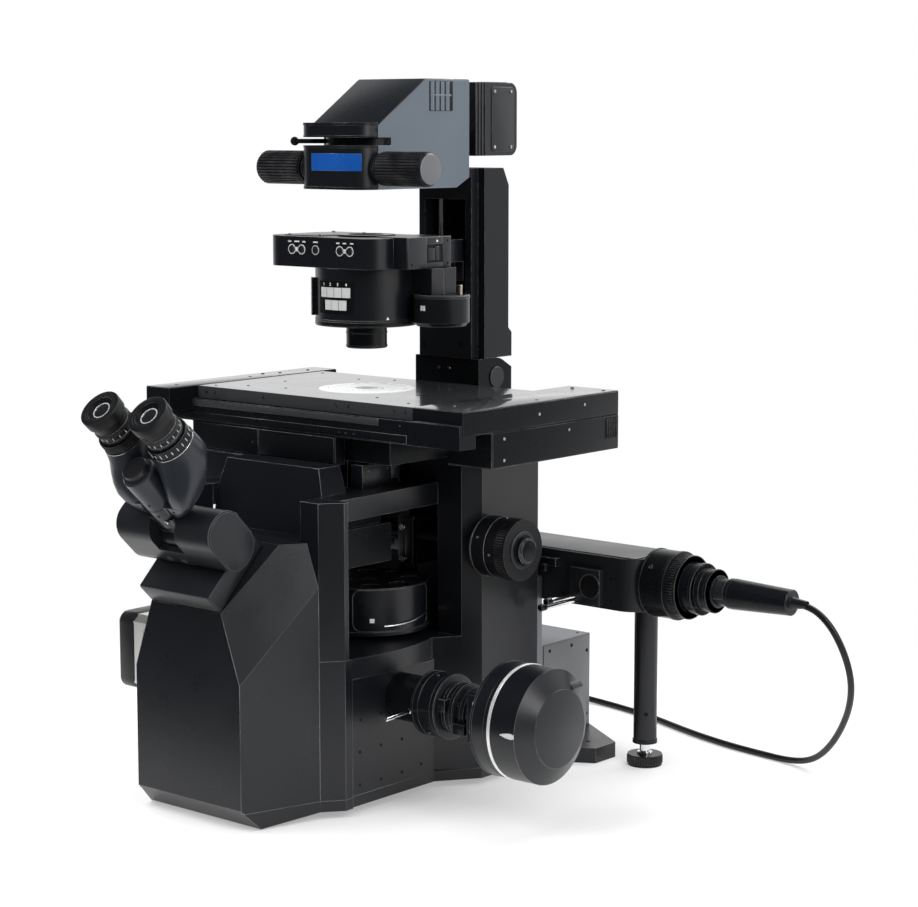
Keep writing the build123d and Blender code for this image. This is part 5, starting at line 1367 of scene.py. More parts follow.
@dataclass
class SidePorts:
    """Rings, screws and covers of the side port adaptors and the two cameras."""

    repeat: Repeat
    y: float = -80.0
    z: float = 117.0
    right_rings: Rows = (
        (163, 4, 31), (167, 3, 35.6), (176, 1.2, 35.4), (193, 6, 35.7), (204, 5, 28.8), (214, 5, 28.8), (226, 6, 25))
    left_rings: Rows = ((121, 4, 34.5), (150, 5, 33.4), (176, 4, 26.2), (186, 4, 27.5))
    bright_edges: Rows = ((199.1, 0.9, 34.6), (219.1, 0.8, 27.6))
    adaptor_screws: Rows = ((184, 35, 3, 62), (222, 23, 4, 20))
    lever: Rows = ((0, 3.0), (5, 3.0), (6, 2.0), (30, 2.0), (31, 2.7), (42, 2.7), (43, 2.0), (43, 0))
    lever_way: Point = (0.0, -1.0, -0.05)
    camera_radius: float = 61.0
    silver_ring: tuple[float, float, float] = (294.0, 4.0, 61.7)
    camera_seams: Rows = ((271.2, 3, 61.4), (288.6, 0.8, 61.25))
    camera_end: float = 342.0
    end_cap: Rows = ((0, 41.6), (0.8, 41.2), (1.2, 40.4), (1.2, 0))
    mark_start: float = 312.0
    mark_step: float = 3.0
    mark_widths: tuple[float, ...] = (1.6, 3.2, 4.4, 5.2, 5.6, 4.2)
    flange_x: Pair = (241.0, 270.0)
    flange_y: Pair = (27.6, 29.0)
    flange_half: float = 26.0
    left_front: float = -189.8
    left_vents: int = 9
    vent_first: float = -206.0
    vent_pitch: float = -5.0
    vent_out: float = 45.0

    def build(self) -> None:
        """Make the ports' and the cameras' fittings."""
        self._adaptors()
        self._right_camera()
        self._left_camera()

    def _on_axis(self, x: float) -> Point:
        """A point of the ports' common axis."""
        return (x, self.y, self.z)

    def _rings(self, form: Form, rows: Rows, side: int = 1) -> Form:
        """Add raised rings round a port.

        Args:
            form: The form that takes them.
            rows: For each its distance from the optical axis, its width and its radius.
            side: 1 for the right port, -1 for the left.

        Returns:
            The form.
        """
        for x, width, radius in rows:
            form.ring(self._on_axis(side * x), X * side, width, radius)
        return form

    def _adaptors(self) -> None:
        """Rings, screws, clamps and lever of both adaptors."""
        y, z = self.y, self.z
        rings = self._rings(Form(), self.right_rings)
        self._rings(rings, self.left_rings, -1).piece("adaptor_rings", "stand", ANODISED)
        self._rings(Form(), self.bright_edges).piece("adaptor_bright_edges", "stand", END_DARK)
        places: list[Place] = []
        for x, radius, count, first in self.adaptor_screws:
            places += around(self._on_axis(x), X, radius, int(count), first)
        screws(self.repeat, "adaptor_screws", "stand", places, 2.0, 1.4)
        ribs = around(self._on_axis(-137), X, 32.5, 40)
        self.repeat.make(rib(14, 1.5, 0.6), ribs, "adaptor_ribs", "stand", ANODISED)
        clamps = Form().box(203, 213, y - 33, y - 24, z + 2, z + 16, 1.0)
        clamps.box(222, 238, y - 31, y - 20, z - 20, z - 8, 1.2)
        clamps.piece("adaptor_clamps", "stand", ANODISED)
        lever = Form().turned(self.lever, (163, y - 28, z - 4), self.lever_way, 18)
        lever.piece("port_lever", "stand", CHROME)

    def _right_camera(self) -> None:
        """Silver ring, seams, end cap, mark, flanges and socket of the right camera."""
        y, z = self.y, self.z
        self._rings(Form(), (self.silver_ring,)).piece("camera_silver_ring", "stand", SILVER)
        self._rings(Form(), self.camera_seams).piece("camera_seams", "stand", ANODISED)
        cap = Form().turned(self.end_cap, self._on_axis(self.camera_end - SUNK), X, 72)
        cap.piece("camera_end_cap", "stand", END_DARK)
        mark = Form()
        for i, width in enumerate(self.mark_widths):
            middle = self._on_axis(self.mark_start + self.mark_step * i)
            path = arc(middle, -Y, Z, self.camera_radius, (1 - width / 2, 1 + width / 2), 3)
            mark.ribbon(path, X, self.mark_step, 0.3)
        mark.piece("camera_mark", "stand", PALE)
        places: list[Place] = []
        for side in SIDES:
            places += facing([(251, y + side * 28, z + dz) for dz in (-18, 17)], Y * side, X)
        screws(self.repeat, "camera_flange_screws", "stand", places, 3.0, 1.6, CHROME)
        flanges = Form()
        for side in SIDES:
            y0, y1 = sorted(y + side * dy for dy in self.flange_y)
            flanges.box(*self.flange_x, y0, y1, z - self.flange_half, z + self.flange_half)
        flanges.piece("camera_flange_plates", "stand", CASTING)
        socket = Form().plate(rounded(17, 9, 2), (338.5, y + 30, z + 40), -Y, (0.6, 0.5, 0.6), 2.0)
        socket.piece("camera_socket", "stand", PLASTIC)

    def _left_camera(self) -> None:
        """Dark end and front, vents and screws of the white camera."""
        end = Form().plate(rounded(92, 92, 13, 7), self._on_axis(-260.6), Y, -X, 27.0, 3.0)
        end.piece("left_camera_end", "stand", PLASTIC)
        plate = Form().plate(rounded(60, 60, 9), self._on_axis(-287.4), Y, -X, 0.8)
        plate.piece("left_camera_end_plate", "stand", END_DARK)
        front = Form().plate(rounded(80, 80, 8), self._on_axis(self.left_front), Y, X, 3.0, 1.0)
        front.piece("left_camera_front", "stand", PLASTIC)
        middles = [Vector(self._on_axis(self.vent_first + self.vent_pitch * i)) for i in range(self.left_vents)]
        slats: list[Place] = []
        for out, along in ((-Z, Y), (-Y, Z), (Z, Y), (Y, Z)):
            slats += facing([middle + out * self.vent_out for middle in middles], out, along)
        self.repeat.make(rib(56, 2.2, 0.8), slats, "left_camera_vents", "stand", CAMERA_WHITE)
        points = [(self.left_front + 3, self.y + dy, self.z + dz) for dy in (-33, 33) for dz in (-33, 33)]
        screws(self.repeat, "left_camera_screws", "stand", facing(points, X, Y), 2.4, 1.2)


@dataclass
class FocusKnobs:
    """Rings, set screws and caps of the focus knobs."""

    repeat: Repeat
    y: float = 25.0
    z: float = 274.0
    radius: float = 34.0
    face: float = 153.3
    end: float = 207.3
    rings: Rows = ((25.6, 1.0), (6.2, 2.0))
    end_ring: Rows = ((0, 17.2), (0, 21), (1.0, 21), (1.6, 20.4), (1.6, 17.2), (0, 17.2))
    set_screws: Rows = ((15, 20), (34, 50))
    ribs: int = 72
    fine_dish: Rows = ((7.6, 13.6), (8.4, 13.2), (9.0, 12.2), (8.6, 9), (8.2, 5), (8.1, 0))
    fine_band: Rows = ((1.2, 14.1), (1.4, 14.5), (5.8, 14.5), (6.0, 14.1))
    left_cap: Rows = ((0, 15), (5, 15), (6, 14), (6, 0))

    def build(self) -> None:
        """Make the knobs' fittings."""
        rings = Form()
        set_screws: list[Place] = []
        ribs: list[Place] = []
        for side in SIDES:
            for distance, width in self.rings:
                rings.ring(self._on_axis(side * (self.face + distance)), X * side, width, self.radius + 0.35,
                           lip=0.85, edge=0.2, steps=72)
            rings.turned(self.end_ring, self._on_axis(side * (self.end - SUNK)), X * side)
            for distance, first in self.set_screws:
                set_screws += around(self._on_axis(side * (self.face + distance)), X, self.radius, 4, first)
            ribs += around(self._on_axis(side * (self.end - 8)), X, self.radius, self.ribs)
        rings.piece("coarse_rings", "coarse", END_DARK)
        screws(self.repeat, "coarse_set_screws", "coarse", set_screws, 1.4, 0.5, STEEL)
        self.repeat.make(rib(11, 1.2, 0.4), ribs, "coarse_knurl", "coarse", GRIP)
        start = self._on_axis(self.end + 0.3)
        fine = Form().turned(self.fine_dish, start, X).turned(self.fine_band, start, X)
        fine.piece("fine_cap", "fine", ANODISED)
        cap = Form().turned(self.left_cap, self._on_axis(-self.end), -X)
        cap.piece("left_knob_cap", "coarse", ANODISED)

    def _on_axis(self, x: float) -> Point:
        """A point of the focus shaft's axis."""
        return (x, self.y, self.z)


@dataclass
class BinocularTube:
    """The observation tube's smooth castings, with its rings, lenses and marks."""

    repeat: Repeat
    pivot_s: float = 62.0
    eye_s: float = 94.7
    eye_half: float = 36.0
    drum_half: float = 70.0
    seat_half: float = 53.4
    strip_r: float = 18.6
    tilt: Pair = (55.0, 56.0)
    window_half: float = 19.0
    head_sections: Rows = (
        (91.2, 30.0, 51.0, 71.0, 8.0), (95.0, 36.5, 50.0, 75.5, 10.0), (102.0, 45.0, 49.5, 83.0, 12.0),
        (110.0, 53.0, 49.5, 91.0, 14.0))
    half_sections: Rows = (
        (110.4, 19.4, 53.4, 49.5, 91.5, 13.0), (119.0, 19.4, 57.6, 50.5, 100.0, 15.0),
        (129.0, 18.4, 60.6, 54.0, 110.0, 19.0), (139.0, 15.6, 61.6, 59.0, 119.0, 22.6),
        (149.0, 11.6, 61.4, 65.4, 120.0, 24.4), (163.0, 11.0, 61.0, 69.7, 119.7, 24.8))
    lid: Rows = ((0, 14.6), (0.6, 14.2), (7.4, 14.2), (8.4, 13.2), (8.2, 0))
    eyepiece: tuple[tuple[str, Rows, int, Finish], ...] = (
        ("barrel_rings", ((162.8, 24.6), (163.0, 25.2), (163.7, 25.2), (163.9, 24.6)), 64, CHROME),
        ("eyepiece_collar", (
            (175.6, 20.2), (176, 20.8), (178.6, 20.8), (179, 20.0), (184.4, 20.0), (184.8, 20.6), (188.4, 20.6),
            (188.8, 20.0), (197.8, 20.0), (198, 19)), 64, END_DARK),
        ("eyecup", (
            (197, 19.6), (197.4, 21.8), (198.4, 22.6), (209.4, 23.0), (210.4, 22.6), (210.8, 21.8), (210.8, 17.4),
            (209.9, 16.8), (206.4, 14.8), (206.4, 0)), 64, RUBBER),
        ("lens_bezel", (
            (206.0, 8.8), (206.0, 10.2), (207.0, 10.1), (207.2, 9.6), (207.0, 8.8), (206.0, 8.8)), 48, SILVER),
        ("eye_lens", ((206.2, 9.0), (206.9, 7), (207.4, 4), (207.5, 0)), 40, GLASS))
    drum_outline: tuple[float, float, float] = (49.5, 70.0, 22.0)
    end_outline: tuple[float, float, float] = (45.5, 66.0, 20.0)
    bow_radius: float = 17.6
    shaft_radius: float = 4.6

    def build(self) -> None:
        """Make the tube's castings and fittings."""
        self._head()
        self._front()
        self._eyepieces()
        self._drum()

    @staticmethod
    def _section(n: float, x0: float, x1: float, s0: float, s1: float, radius: float, side: int = 1) -> list[Vector]:
        """A rounded section across the tube at height n, between two sides, a front and a back."""
        x, s = (x0 + x1) / 2, (s0 + s1) / 2
        return [on_tube(side * (x + u), s + v, n) for u, v in rounded(x1 - x0, s1 - s0, radius, 9)]

    def _head(self) -> None:
        """The tilting head and the two swinging halves."""
        s, n = self.tilt
        wide, r = self.window_half, self.strip_r
        stalk = Form().turned([(0, 17.0), (2 * wide, 17.0)], on_tube(-wide, s, n), X)
        stalk.skin([self._section(h, -wide, wide, s - 9, s + 16, 4) for h in (n, 93)])
        stalk.piece("tube_stalk", "binocular", CASTING)
        head = Form().skin([self._section(h, -half, half, *row) for h, half, *row in self.head_sections], 1.6)
        strip = [(79, r - 2), (80, r), (107.6, r), (107.9, r - 0.5), (108.5, r - 0.5), (108.8, r), (150, r),
                 (151.4, r - 1.4), (151.4, 0)]
        head.turned(strip, on_tube(0, self.pivot_s, 0), AWAY, 64)
        head.piece("tube_head", "binocular", TUBE_GREY, ("binocular_body",))
        for side, name in zip(SIDES, SIDE_NAMES):
            half = Form().skin([self._section(*row, side) for row in self.half_sections])
            half.piece(f"tube_half_{name}", f"eye_{name}", TUBE_GREY, (f"eyepiece_tube_{name}",))

    def _front(self) -> None:
        """Seams, screws and pivot lid of the tilting head."""
        front = self.pivot_s - self.strip_r
        seams = Form()
        for side in SIDES:
            middle = on_tube(side * (self.strip_r + 0.2), 49.4, 101.5)
            seams.plate(rounded(1.4, 16, 0.6), middle, X, -ALONG, 0.5, 0)
        seams.piece("front_seams", "binocular", DARK)
        points = [on_tube(4, front + 0.4, 100), on_tube(4, front + 0.4, 118), on_tube(26, 49.5, 104)]
        holes(self.repeat, "front_screws", "binocular", facing(points, -ALONG, X), 1.6)
        places = facing([on_tube(8, front + 1.8, 90)], -ALONG, X)
        screws(self.repeat, "front_chrome_screw", "binocular", places, 2.6, 1.4, CHROME)
        lid = Form().turned(self.lid, on_tube(0, self.pivot_s, 151.2), AWAY)
        lid.piece("pivot_lid", "binocular", PLASTIC)

    def _eyepieces(self) -> None:
        """Bright rings, eyecups, lenses, ribs and white marks of the two eyepieces."""
        for side, name in zip(SIDES, SIDE_NAMES):
            body, x = f"eye_{name}", side * self.eye_half
            for label, profile, steps, finish in self.eyepiece:
                turned = Form().turned(profile, on_tube(x, self.eye_s, 0), AWAY, steps)
                turned.piece(f"{label}_{name}", body, finish)
            marks = around(on_tube(x, self.eye_s, 181.4), AWAY, 20.1, 16)
            self.repeat.make(rib(3.2, 0.9, 0.5), marks, f"eyepiece_marks_{name}", body, PALE)
            ribs = around(on_tube(x, self.eye_s, 186.6), AWAY, 20.5, 48)
            self.repeat.make(rib(3.6, 1.1, 0.8), ribs, f"eyecup_ribs_{name}", body, RUBBER)
        marks = around(on_tube(self.eye_half, self.eye_s, 169.4), AWAY, 24.0, 22)
        self.repeat.make(rib(4.0, 0.9, 0.5), marks, "dioptre_marks", "dioptre", PALE)
        ribs = around(on_tube(-self.eye_half, self.eye_s, 169.4), AWAY, 24.0, 60)
        self.repeat.make(rib(8.0, 1.2, 0.5), ribs, "left_ring_ribs", "eye_left", GRIP)

    def _drum(self) -> None:
        """The seat block, the rounded drum with its window and end plates, and the seat's plugs."""
        window, wide = self.window_half + 0.5, self.drum_half
        s, n = self.tilt
        whole, end = ([(s + 0.5 + a, n - 1 + b) for a, b in rounded(*size, 10)]
                      for size in (self.drum_outline, self.end_outline))
        left, right = (min(whole)[0], n), (max(whole)[0], n)
        turns = [math.pi * i / 16 for i in range(17)]
        bow = [(s + self.bow_radius * math.cos(t), n - self.bow_radius * math.sin(t)) for t in turns]
        half = len(whole) // 2
        base = Form().skin([self._section(h, -self.seat_half, self.seat_half, 0, 90, 3) for h in (0, 26)], 2.4)
        base.plate([*whole[half:], right, *bow, left], SEAT - X * wide, ALONG, X, 2 * wide, 0)
        base.turned([(0, self.shaft_radius), (2 * window, self.shaft_radius)], on_tube(-window, s, n), X, 20)
        ends = Form()
        for side in SIDES:
            upper = [(a * side, b) for a, b in (*whole[:half], left, right)]
            base.plate(upper, SEAT + X * side * window, ALONG * side, X * side, wide - window, 0)
            ends.plate([(a * side, b) for a, b in end], SEAT + X * side * wide, ALONG * side, X * side, 0.8, 0.4)
        base.piece("tube_seat_and_drum", "stand", CHARCOAL, ("tube_base",))
        ends.piece("drum_end_plates", "stand", END_DARK)
        back = Form().skin([self._section(h, -60, 60, 66, 89, 5) for h in (25, 60)], 2.0)
        back.piece("drum_back", "stand", CHARCOAL)
        points = [on_tube(-14, 30.9, 41), on_tube(8, 30.9, 41)]
        plug = Form().turned([(0, 4.2), (0.5, 4.0), (0.5, 0)], (0, 0, 0), Z, 24)
        self.repeat.make(plug, facing(points, -ALONG, X), "drum_plugs", "stand", BOX_GREY)


@dataclass
class Illuminator:
    """Slides, rings, ribs and foot of the fluorescence illuminator."""

    repeat: Repeat
    arm_front: float = 171.0
    axis_y: float = 210.5
    axis_z: float = 217.0
    end: float = 256.0
    window_x: float = 194.0
    window_z: float = 211.0
    window_ring: Rows = ((0, 13.2), (0, 14.8), (0.8, 14.6), (0.9, 13.4), (0, 13.2))
    rods: Rows = ((171, 192.5), (179, 200.5))
    rod_start: float = 101.6
    rod_end: Rows = ((0, 0), (0, 3.2), (1, 4.2), (9, 4.2), (10, 3.1))
    arm_top: float = 247.0
    top_screws: Rows = ((60, 178), (60, 243), (150, 178), (150, 243), (226, 180), (226, 240), (-20, 240))
    front_screws: Rows = ((220, 222), (114, 206), (150, 196), (220, 196))
    rings: Rows = (
        (0, 3, 39.8), (30, 4.2, 39.6), (46, 3, 36.6), (62, 4, 29.8), (72, 1.5, 24.6), (79, 4, 25.0), (84, 2.5, 18.5),
        (101, 4.5, 17.2))
    near_relief: Rows = (
        (0, 14.3), (1.2, 13.2), (1.2, 7.2), (2, 6.6), (14, 5.0), (20, 4.3), (20, 3.4), (0, 3.4), (0, 14.3))
    far_relief: Rows = ((0, 10.6), (3, 9.2), (12, 6), (20, 4.5), (21, 3.4), (0, 3.4), (0, 10.6))
    far_end: Point = (-65.0, 277.6, 68.0)
    leg: Pair = (240.0, 212.0)
    lower_collar: Rows = ((0, 13.2), (0, 14.4), (4, 14.4), (5, 13.6), (5, 13.2), (0, 13.2))
    upper_collar: Rows = ((0, 14.2), (1, 15), (5, 15), (5, 13.4))
    stem: Rows = ((13, 9), (15, 9), (15.6, 8.2), (15.6, 6.012), (25, 6.012), (25.4, 6.01))

    def build(self) -> None:
        """Make the illuminator's fittings."""
        self._arm()
        self._arm_screws()
        self._collimator()
        self._leg()

    def _arm(self) -> None:
        """The filter holder with its window and pull rods, and the tab."""
        y = self.arm_front
        Form().box(165, 208, y - 7, y + 0.3, 189.5, 231, 0.8).piece("filter_holder", "stand", CHARCOAL)
        middle = (self.window_x, y - 6.9, self.window_z)
        window = Form().turned([(0, 13.4), (0.6, 13.2), (0.6, 0)], middle, -Y, 40)
        window.piece("filter_window", "stand", DARK)
        Form().turned(self.window_ring, middle, -Y, 40).piece("filter_window_ring", "stand", END_DARK)
        tab = Form().box(123, 146, y - 9, y + 0.3, 228, 238, 0.8).box(127, 133, y - 12, y - 8, 222, 230)
        tab.piece("arm_tab", "stand", CASTING)
        ends = Form()
        for x, z in self.rods:
            ends.turned(self.rod_end, (x, self.rod_start, z), Y, 20)
        ends.piece("rod_ends", "slider", ANODISED)

    def _arm_screws(self) -> None:
        """Screws and thin covers on the arm's top, front and back."""
        points = [(*point, self.arm_top) for point in self.top_screws]
        holes(self.repeat, "arm_top_screws", "stand", facing(points, Z, X), 2.0)
        points = [(x, self.arm_front, z) for x, z in self.front_screws]
        holes(self.repeat, "arm_front_screws", "stand", facing(points, -Y, X), 1.8)
        covers = Form().plate(rounded(290, 72, 6), (105, 211, self.arm_top - SUNK), X, Z, 1.2, 0.5)
        covers.plate(rounded(270, 48, 4), (105, 249.8, 216.5), -X, Y, 1.2, 0.5)
        covers.piece("arm_covers", "stand", CASTING)
        points = [(x, 251, z) for x in (-20, 60, 150, 230) for z in (198, 235)]
        screws(self.repeat, "arm_rear_screws", "stand", facing(points, Y, X), 2.0, 1.0, STEEL)

    def _on_axis(self, x: float) -> Vector:
        """A point of the illuminator's optical axis."""
        return Vector((x, self.axis_y, self.axis_z))

    def _collimator(self) -> None:
        """Rings, plate, screws and ribs of the collimator, and the cord's two reliefs."""
        rings = Form()
        for distance, width, radius in self.rings:
            rings.ring(self._on_axis(self.end + distance), X, width, radius, lip=0.9, edge=0.4)
        rings.piece("collimator_rings", "stand", ANODISED)
        plate = Form().ribbon(arc(self._on_axis(342), -Y, Z, 15.5, (-20, 70), 14), X, 14, 0.4)
        plate.piece("guide_plate", "stand", CHARCOAL)
        outs = [Vector((0, side * 0.8, 0.6)) for side in SIDES]
        places = [(self._on_axis(269) + out * 39, out, X) for out in outs]
        screws(self.repeat, "collimator_screws", "stand", places, 2.8, 1.6)
        ribs = around(self._on_axis(296), X, 36, 72)
        self.repeat.make(rib(10, 1.5, 0.6), ribs, "collimator_ribs", "stand", ANODISED)
        relief = Form().turned(self.near_relief, self._on_axis(436.6), X, 32)
        relief.turned(self.far_relief, self.far_end, Y, 32).piece("cord_reliefs", "stand", RUBBER)

    def _leg(self) -> None:
        """Collars of the leg, its hole and the ribbed levelling foot."""
        x, y = self.leg
        collars = Form().turned(self.lower_collar, (x, y, 26.2), Z).turned(self.upper_collar, (x, y, 181), Z)
        collars.piece("leg_collars", "stand", ANODISED)
        out = Vector((0.643, -0.766, 0))
        holes(self.repeat, "leg_hole", "stand", [(Vector((x + 8.68, y - 10.34, 62)), out, Z)], 2.4)
        Form().turned(self.stem, (x, y, 0), Z, 128).piece("foot_stem", "levelling", CHROME)
        self.repeat.make(rib(8.5, 2.2, 0.9), around((x, y, 7), Z, 19.9, 40), "foot_knurl", "levelling", GRIP)


@dataclass
class RearUnit:
    """Plates, vents, sockets and screws of the rear box."""

    repeat: Repeat
    half: float = 120.0
    back: float = 263.0
    skin: float = 0.9
    plate_screws: Rows = ((256, 110), (226, 121), (184, 121), (256, 32), (184, 32))
    wall_screws: Rows = ((158, 142), (158, 200))
    vent: Pair = (60.0, 92.0)
    slat_low: float = 74.0
    slat_pitch: float = 5.2
    slats: int = 8
    sockets: Rows = ((-10, 28, 20, 3, 3.0), (40, 34, 12, 4, 2.4), (88, 16, 16, 3, 3.0))
    socket_z: float = 46.0

    def build(self) -> None:
        """Make the rear box's fittings."""
        outer, proud = self.half + self.skin, self.back + 1.0
        plates = Form().pair(self.half - SUNK, outer, 173, 262, 20, 128.5, 0.4)
        plates.piece("box_side_plates", "stand", PLATE_GREY)
        points = [(outer, *row) for row in self.plate_screws] + [(self.half, *row) for row in self.wall_screws]
        holes(self.repeat, "box_side_screws", "stand", both_sides(points, Y), 2.2)
        panel = Form().plate(rounded(226, 100, 4), (0, self.back - SUNK, 75), -X, Y, 1.4)
        panel.piece("box_rear_panel", "stand", CASTING)
        x, z = self.vent
        # Dark bed: painted shade for the depth of the vent behind the slats.
        Form().plate(rounded(84, 44, 3), (x, proud, z), -X, Y, 0.5).piece("box_vent_bed", "stand", DARK)
        points = [(x, proud + 0.4, self.slat_low + self.slat_pitch * i) for i in range(self.slats)]
        self.repeat.make(rib(80, 2.6, 1.2), facing(points, Y, X), "box_vent_slats", "stand", CASTING)
        sockets = Form()
        for x, width, height, radius, thick in self.sockets:
            sockets.plate(rounded(width, height, radius), (x, proud, self.socket_z), -X, Y, thick)
        sockets.piece("box_sockets", "stand", PLASTIC)
        points = [(x, self.back + 1.2, z) for x in (-104, 104) for z in (33, 117)]
        screws(self.repeat, "box_rear_screws", "stand", facing(points, Y, X), 2.4, 1.2, STEEL)
        points = [(x, y, 130) for x in (-108, 108) for y in (182, 254)]
        holes(self.repeat, "box_top_screws", "stand", facing(points, Z, X), 2.0)
        points = [(x, 195, 18) for x in (-170, 170)]
        holes(self.repeat, "rear_foot_holes", "stand", facing(points, Z, X), 2.6)


@dataclass
class LightGuideCord:
    """The fibre light guide's cord, from its grip round to the socket behind."""

    diameter: float = 7.5
    length: float = 0.888
    points: tuple[Point, ...] = (
        (437, 210.5, 217), (459, 210.5, 217), (484, 211, 201), (500, 216, 172), (503, 229, 138), (491, 248, 104),
        (468, 270, 70), (440, 290, 38), (408, 308, 14), (372, 319, 4.2), (328, 324, 4), (280, 331, 4),
        (226, 345, 4), (180, 361, 4), (134, 379, 4), (90, 391, 4), (46, 400, 4), (2, 401, 6), (-36, 388, 16),
        (-58, 360, 35), (-65, 330, 56), (-65, 303, 68), (-65, 278, 68))

    def build(self) -> None:
        curve = bpy.data.curves.new("light_guide", "CURVE")
        curve.dimensions = "3D"
        curve.bevel_depth = self.diameter / 2 * MM
        curve.bevel_resolution = 5
        curve.resolution_u = 8
        curve.use_fill_caps = True
        spline = curve.splines.new("NURBS")
        spline.points.add(len(self.points) - 1)
        for knot, point in zip(spline.points, self.points):
            knot.co = (*at(*point), 1)
        spline.order_u = 3
        spline.use_endpoint_u = True
        curve.materials.append(RUBBER.material())
        cord = bpy.data.objects.new("light_guide", curve)
        bpy.context.scene.collection.objects.link(cord)
        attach(cord, "stand")
        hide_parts("light_guide_cord")
        LOG.info("light guide cord laid")


@dataclass
class Studio:
    """Pale floor, soft lights and the camera at the photograph's angle."""

    camera_place: Point = (1796.6, -1950.0, 737.3)
    azimuth: float = 40.4
    pitch: float = 8.0
    focal_pixels: float = 2350.0
    image_width: float = 918.0
    sensor: float = 36.0
    floor_size: float = 14.0
    floor_shade: float = 0.86
    floor_fade: Pair = (0.45, 1.05)
    floor_white: float = 0.35
    world_shade: float = 0.26
    front_shade: float = 0.05
    front_pointing: Point = (0.0, -1.0, 0.90)
    front_limits: Pair = (-0.25, 0.30)
    front_floor: Pair = (0.20, 0.55)
    lamps: tuple[tuple[Point, Point, Pair, float, str], ...] = (
        ((-700, -1700, 2300), (0, -50, 380), (1.6, 1.6), 60, "key"),
        ((2300, -300, 1700), (0, 0, 350), (1.2, 2.0), 40, "right"),
        ((-2300, 300, 1500), (0, 0, 400), (1.2, 2.2), 30, "left"),
        ((100, 1900, 2300), (0, 100, 450), (2.2, 1.2), 45, "rear"),
        ((0, 0, 2900), (0, 0, 400), (2.4, 2.4), 40, "top"))
    seen_in_gloss: tuple[str, ...] = ("right", "rear")

    def build(self) -> None:
        """Make the floor, the lights, the world and the camera."""
        self._floor()
        self._world()
        for place, aim, size, power, name in self.lamps:
            lamp = self._lamp(at(*place), at(*aim), size, power, name)
            lamp.visible_glossy = name in self.seen_in_gloss
        self._camera()
        bpy.context.scene.view_settings.view_transform = "Standard"

    def _floor(self) -> None:
        """A plain pale floor that keeps the shadow and runs out into the white background."""
        mesh = bpy.data.meshes.new("floor")
        half = self.floor_size / 2
        mesh.from_pydata([(-half, -half, 0), (half, -half, 0), (half, half, 0), (-half, half, 0)], [], [(0, 1, 2, 3)])
        material = bpy.data.materials.new("floor_pale")
        material.use_nodes = True
        tree = material.node_tree
        place = lay(tree, "TexCoord").outputs["Object"]
        distance = lay(tree, "VectorMath", {0: place}, operation="LENGTH").outputs["Value"]
        near, far = self.floor_fade
        fade = {"Value": distance, "From Min": near, "From Max": far, "To Min": self.floor_white}
        faded = lay(tree, "MapRange", interpolation_type="SMOOTHSTEP")
        feed(tree, faded, fade)
        seen = {0: faded.outputs["Result"], 1: self._seen(tree)}
        share = lay(tree, "Math", seen, operation="MULTIPLY").outputs["Value"]
        front = self._front(tree, "Object", -Y, self.front_floor)
        most = lay(tree, "Math", {0: share, 1: front}, operation="MAXIMUM").outputs["Value"]
        white = lay(tree, "Emission", {"Color": self._dimmed(tree, front)}).outputs["Emission"]
        shader = tree.nodes["Principled BSDF"]
        shade = (self.floor_shade, self.floor_shade, self.floor_shade, 1)
        feed(tree, shader, {"Base Color": shade, "Roughness": 0.9, "Specular IOR Level": 0.1})
        mix = lay(tree, "MixShader", {"Fac": most, 1: shader.outputs["BSDF"], 2: white}).outputs["Shader"]
        feed(tree, tree.nodes["Material Output"], {"Surface": mix})
        mesh.materials.append(material)
        floor = bpy.data.objects.new("floor", mesh)
        bpy.context.scene.collection.objects.link(floor)

    @staticmethod
    def _seen(tree: Tree) -> Socket:
        """A value of 1 for camera, glossy and transmission rays.

        Args:
            tree: The tree to lay the nodes in.

        Returns:
            The socket that gives the value.
        """
        ray = lay(tree, "LightPath")
        total = ray.outputs["Is Camera Ray"]
        for kind in ("Is Glossy Ray", "Is Transmission Ray"):
            total = lay(tree, "Math", {0: total, 1: ray.outputs[kind]}, operation="MAXIMUM").outputs["Value"]
        return total

    @staticmethod
    def _front(tree: Tree, place: str, pointing: Vector | Point, limits: Pair) -> Socket:
        """A value that rises to 1 where gloss looks into the dim front of the studio.

        Args:
            tree: The tree to lay the nodes in.
            place: The texture coordinate that tells where the ray goes.
            pointing: The way to the front.
            limits: Where along that way the dimness begins and is full.

        Returns:
            The socket that gives the value.
        """
        where = lay(tree, "TexCoord").outputs[place]
        along = lay(tree, "VectorMath", {0: where, 1: pointing}, operation="DOT_PRODUCT").outputs["Value"]
        rise = lay(tree, "MapRange", {"Value": along, "From Min": limits[0], "From Max": limits[1]}).outputs["Result"]
        glossy = lay(tree, "LightPath").outputs["Is Glossy Ray"]
        return lay(tree, "Math", {0: rise, 1: glossy}, operation="MULTIPLY").outputs["Value"]

    def _dimmed(self, tree: Tree, front: Socket) -> Socket:
        """White that falls off towards the front."""
        return lay(tree, "MapRange", {"Value": front, "To Min": 1.0, "To Max": self.front_shade}).outputs["Result"]

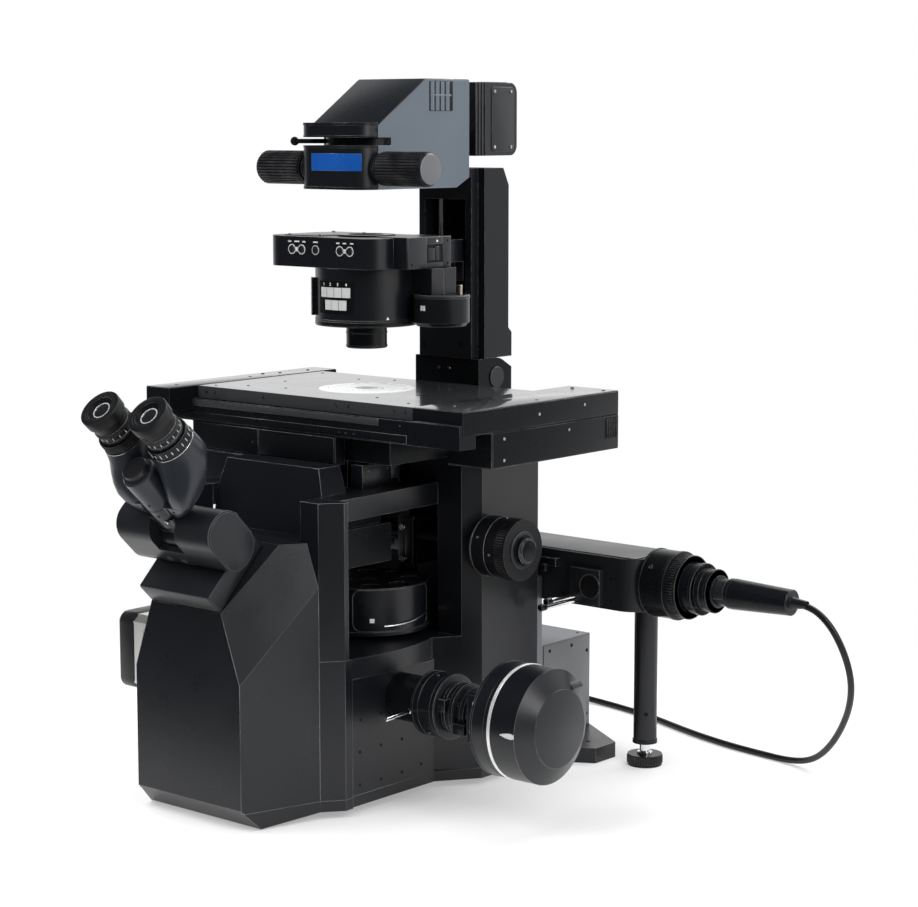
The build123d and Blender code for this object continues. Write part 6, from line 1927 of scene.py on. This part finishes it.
    def _world(self) -> None:
        """White behind the object and in its gloss, dim in front, and a softer grey as its light."""
        world = bpy.data.worlds.new("studio")
        bpy.context.scene.world = world
        world.use_nodes = True
        tree = world.node_tree
        tree.nodes.clear()
        light = lay(tree, "Background", {"Color": (self.world_shade,) * 3 + (1,)}).outputs["Background"]
        front = self._front(tree, "Generated", self.front_pointing, self.front_limits)
        white = lay(tree, "Background", {"Color": self._dimmed(tree, front)}).outputs["Background"]
        mix = lay(tree, "MixShader", {"Fac": self._seen(tree), 1: light, 2: white}).outputs["Shader"]
        lay(tree, "OutputWorld", {"Surface": mix})

    @staticmethod
    def _lamp(place: Vector, aim: Vector, size: Pair, power: float, name: str) -> bpy.types.Object:
        """Hang one soft rectangular lamp.

        Args:
            place: Where it hangs.
            aim: What it points at.
            size: Its width and height in metres.
            power: Its power in watts.
            name: Its name.

        Returns:
            The lamp.
        """
        data = bpy.data.lights.new(name, "AREA")
        data.shape = "RECTANGLE"
        data.size, data.size_y = size
        data.energy = power
        lamp = bpy.data.objects.new(name, data)
        lamp.location = place
        lamp.rotation_euler = (aim - place).to_track_quat("-Z", "Y").to_euler()
        bpy.context.scene.collection.objects.link(lamp)
        return lamp

    def _camera(self) -> None:
        """Set the camera where the photograph was taken."""
        data = bpy.data.cameras.new("camera")
        data.sensor_width = self.sensor
        data.lens = self.sensor * self.focal_pixels / self.image_width
        data.clip_end = 50
        camera = bpy.data.objects.new("camera", data)
        camera.location = at(*self.camera_place)
        camera.rotation_euler = (math.radians(90 - self.pitch), 0, math.radians(self.azimuth))
        bpy.context.scene.collection.objects.link(camera)
        bpy.context.scene.camera = camera


def finish_nodes(nodes: dict[str, bpy.types.Object]) -> None:
    """Give every CAD node its finish.

    Args:
        nodes: The CAD nodes by name.
    """
    for name, node in nodes.items():
        finish = NODE_FINISH[name]
        node.data.materials.clear()
        node.data.materials.append(finish.material())
        LOG.info("%s: %s", name, finish.name)


def corners(box: tuple[Vector, Vector]) -> list[list[float]]:
    """A box's two corners as plain numbers."""
    return [[float(v) for v in corner] for corner in box]


def main() -> None:
    """Dress the frame."""
    logging.basicConfig(level=logging.INFO, format="%(message)s")
    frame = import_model()
    Studio().build()
    LightGuideCord().build()
    repeat = Repeat()
    for assembly in (LampHead, PillarDress, CondenserDress, StageDress, BayDress, StandDress, SidePorts, FocusKnobs,
                     BinocularTube, Illuminator, RearUnit):
        assembly(repeat).build()
        LOG.info("%s dressed", assembly.__name__)
    finish_nodes(frame["nodes"])


if __name__ == "__main__":
    main()
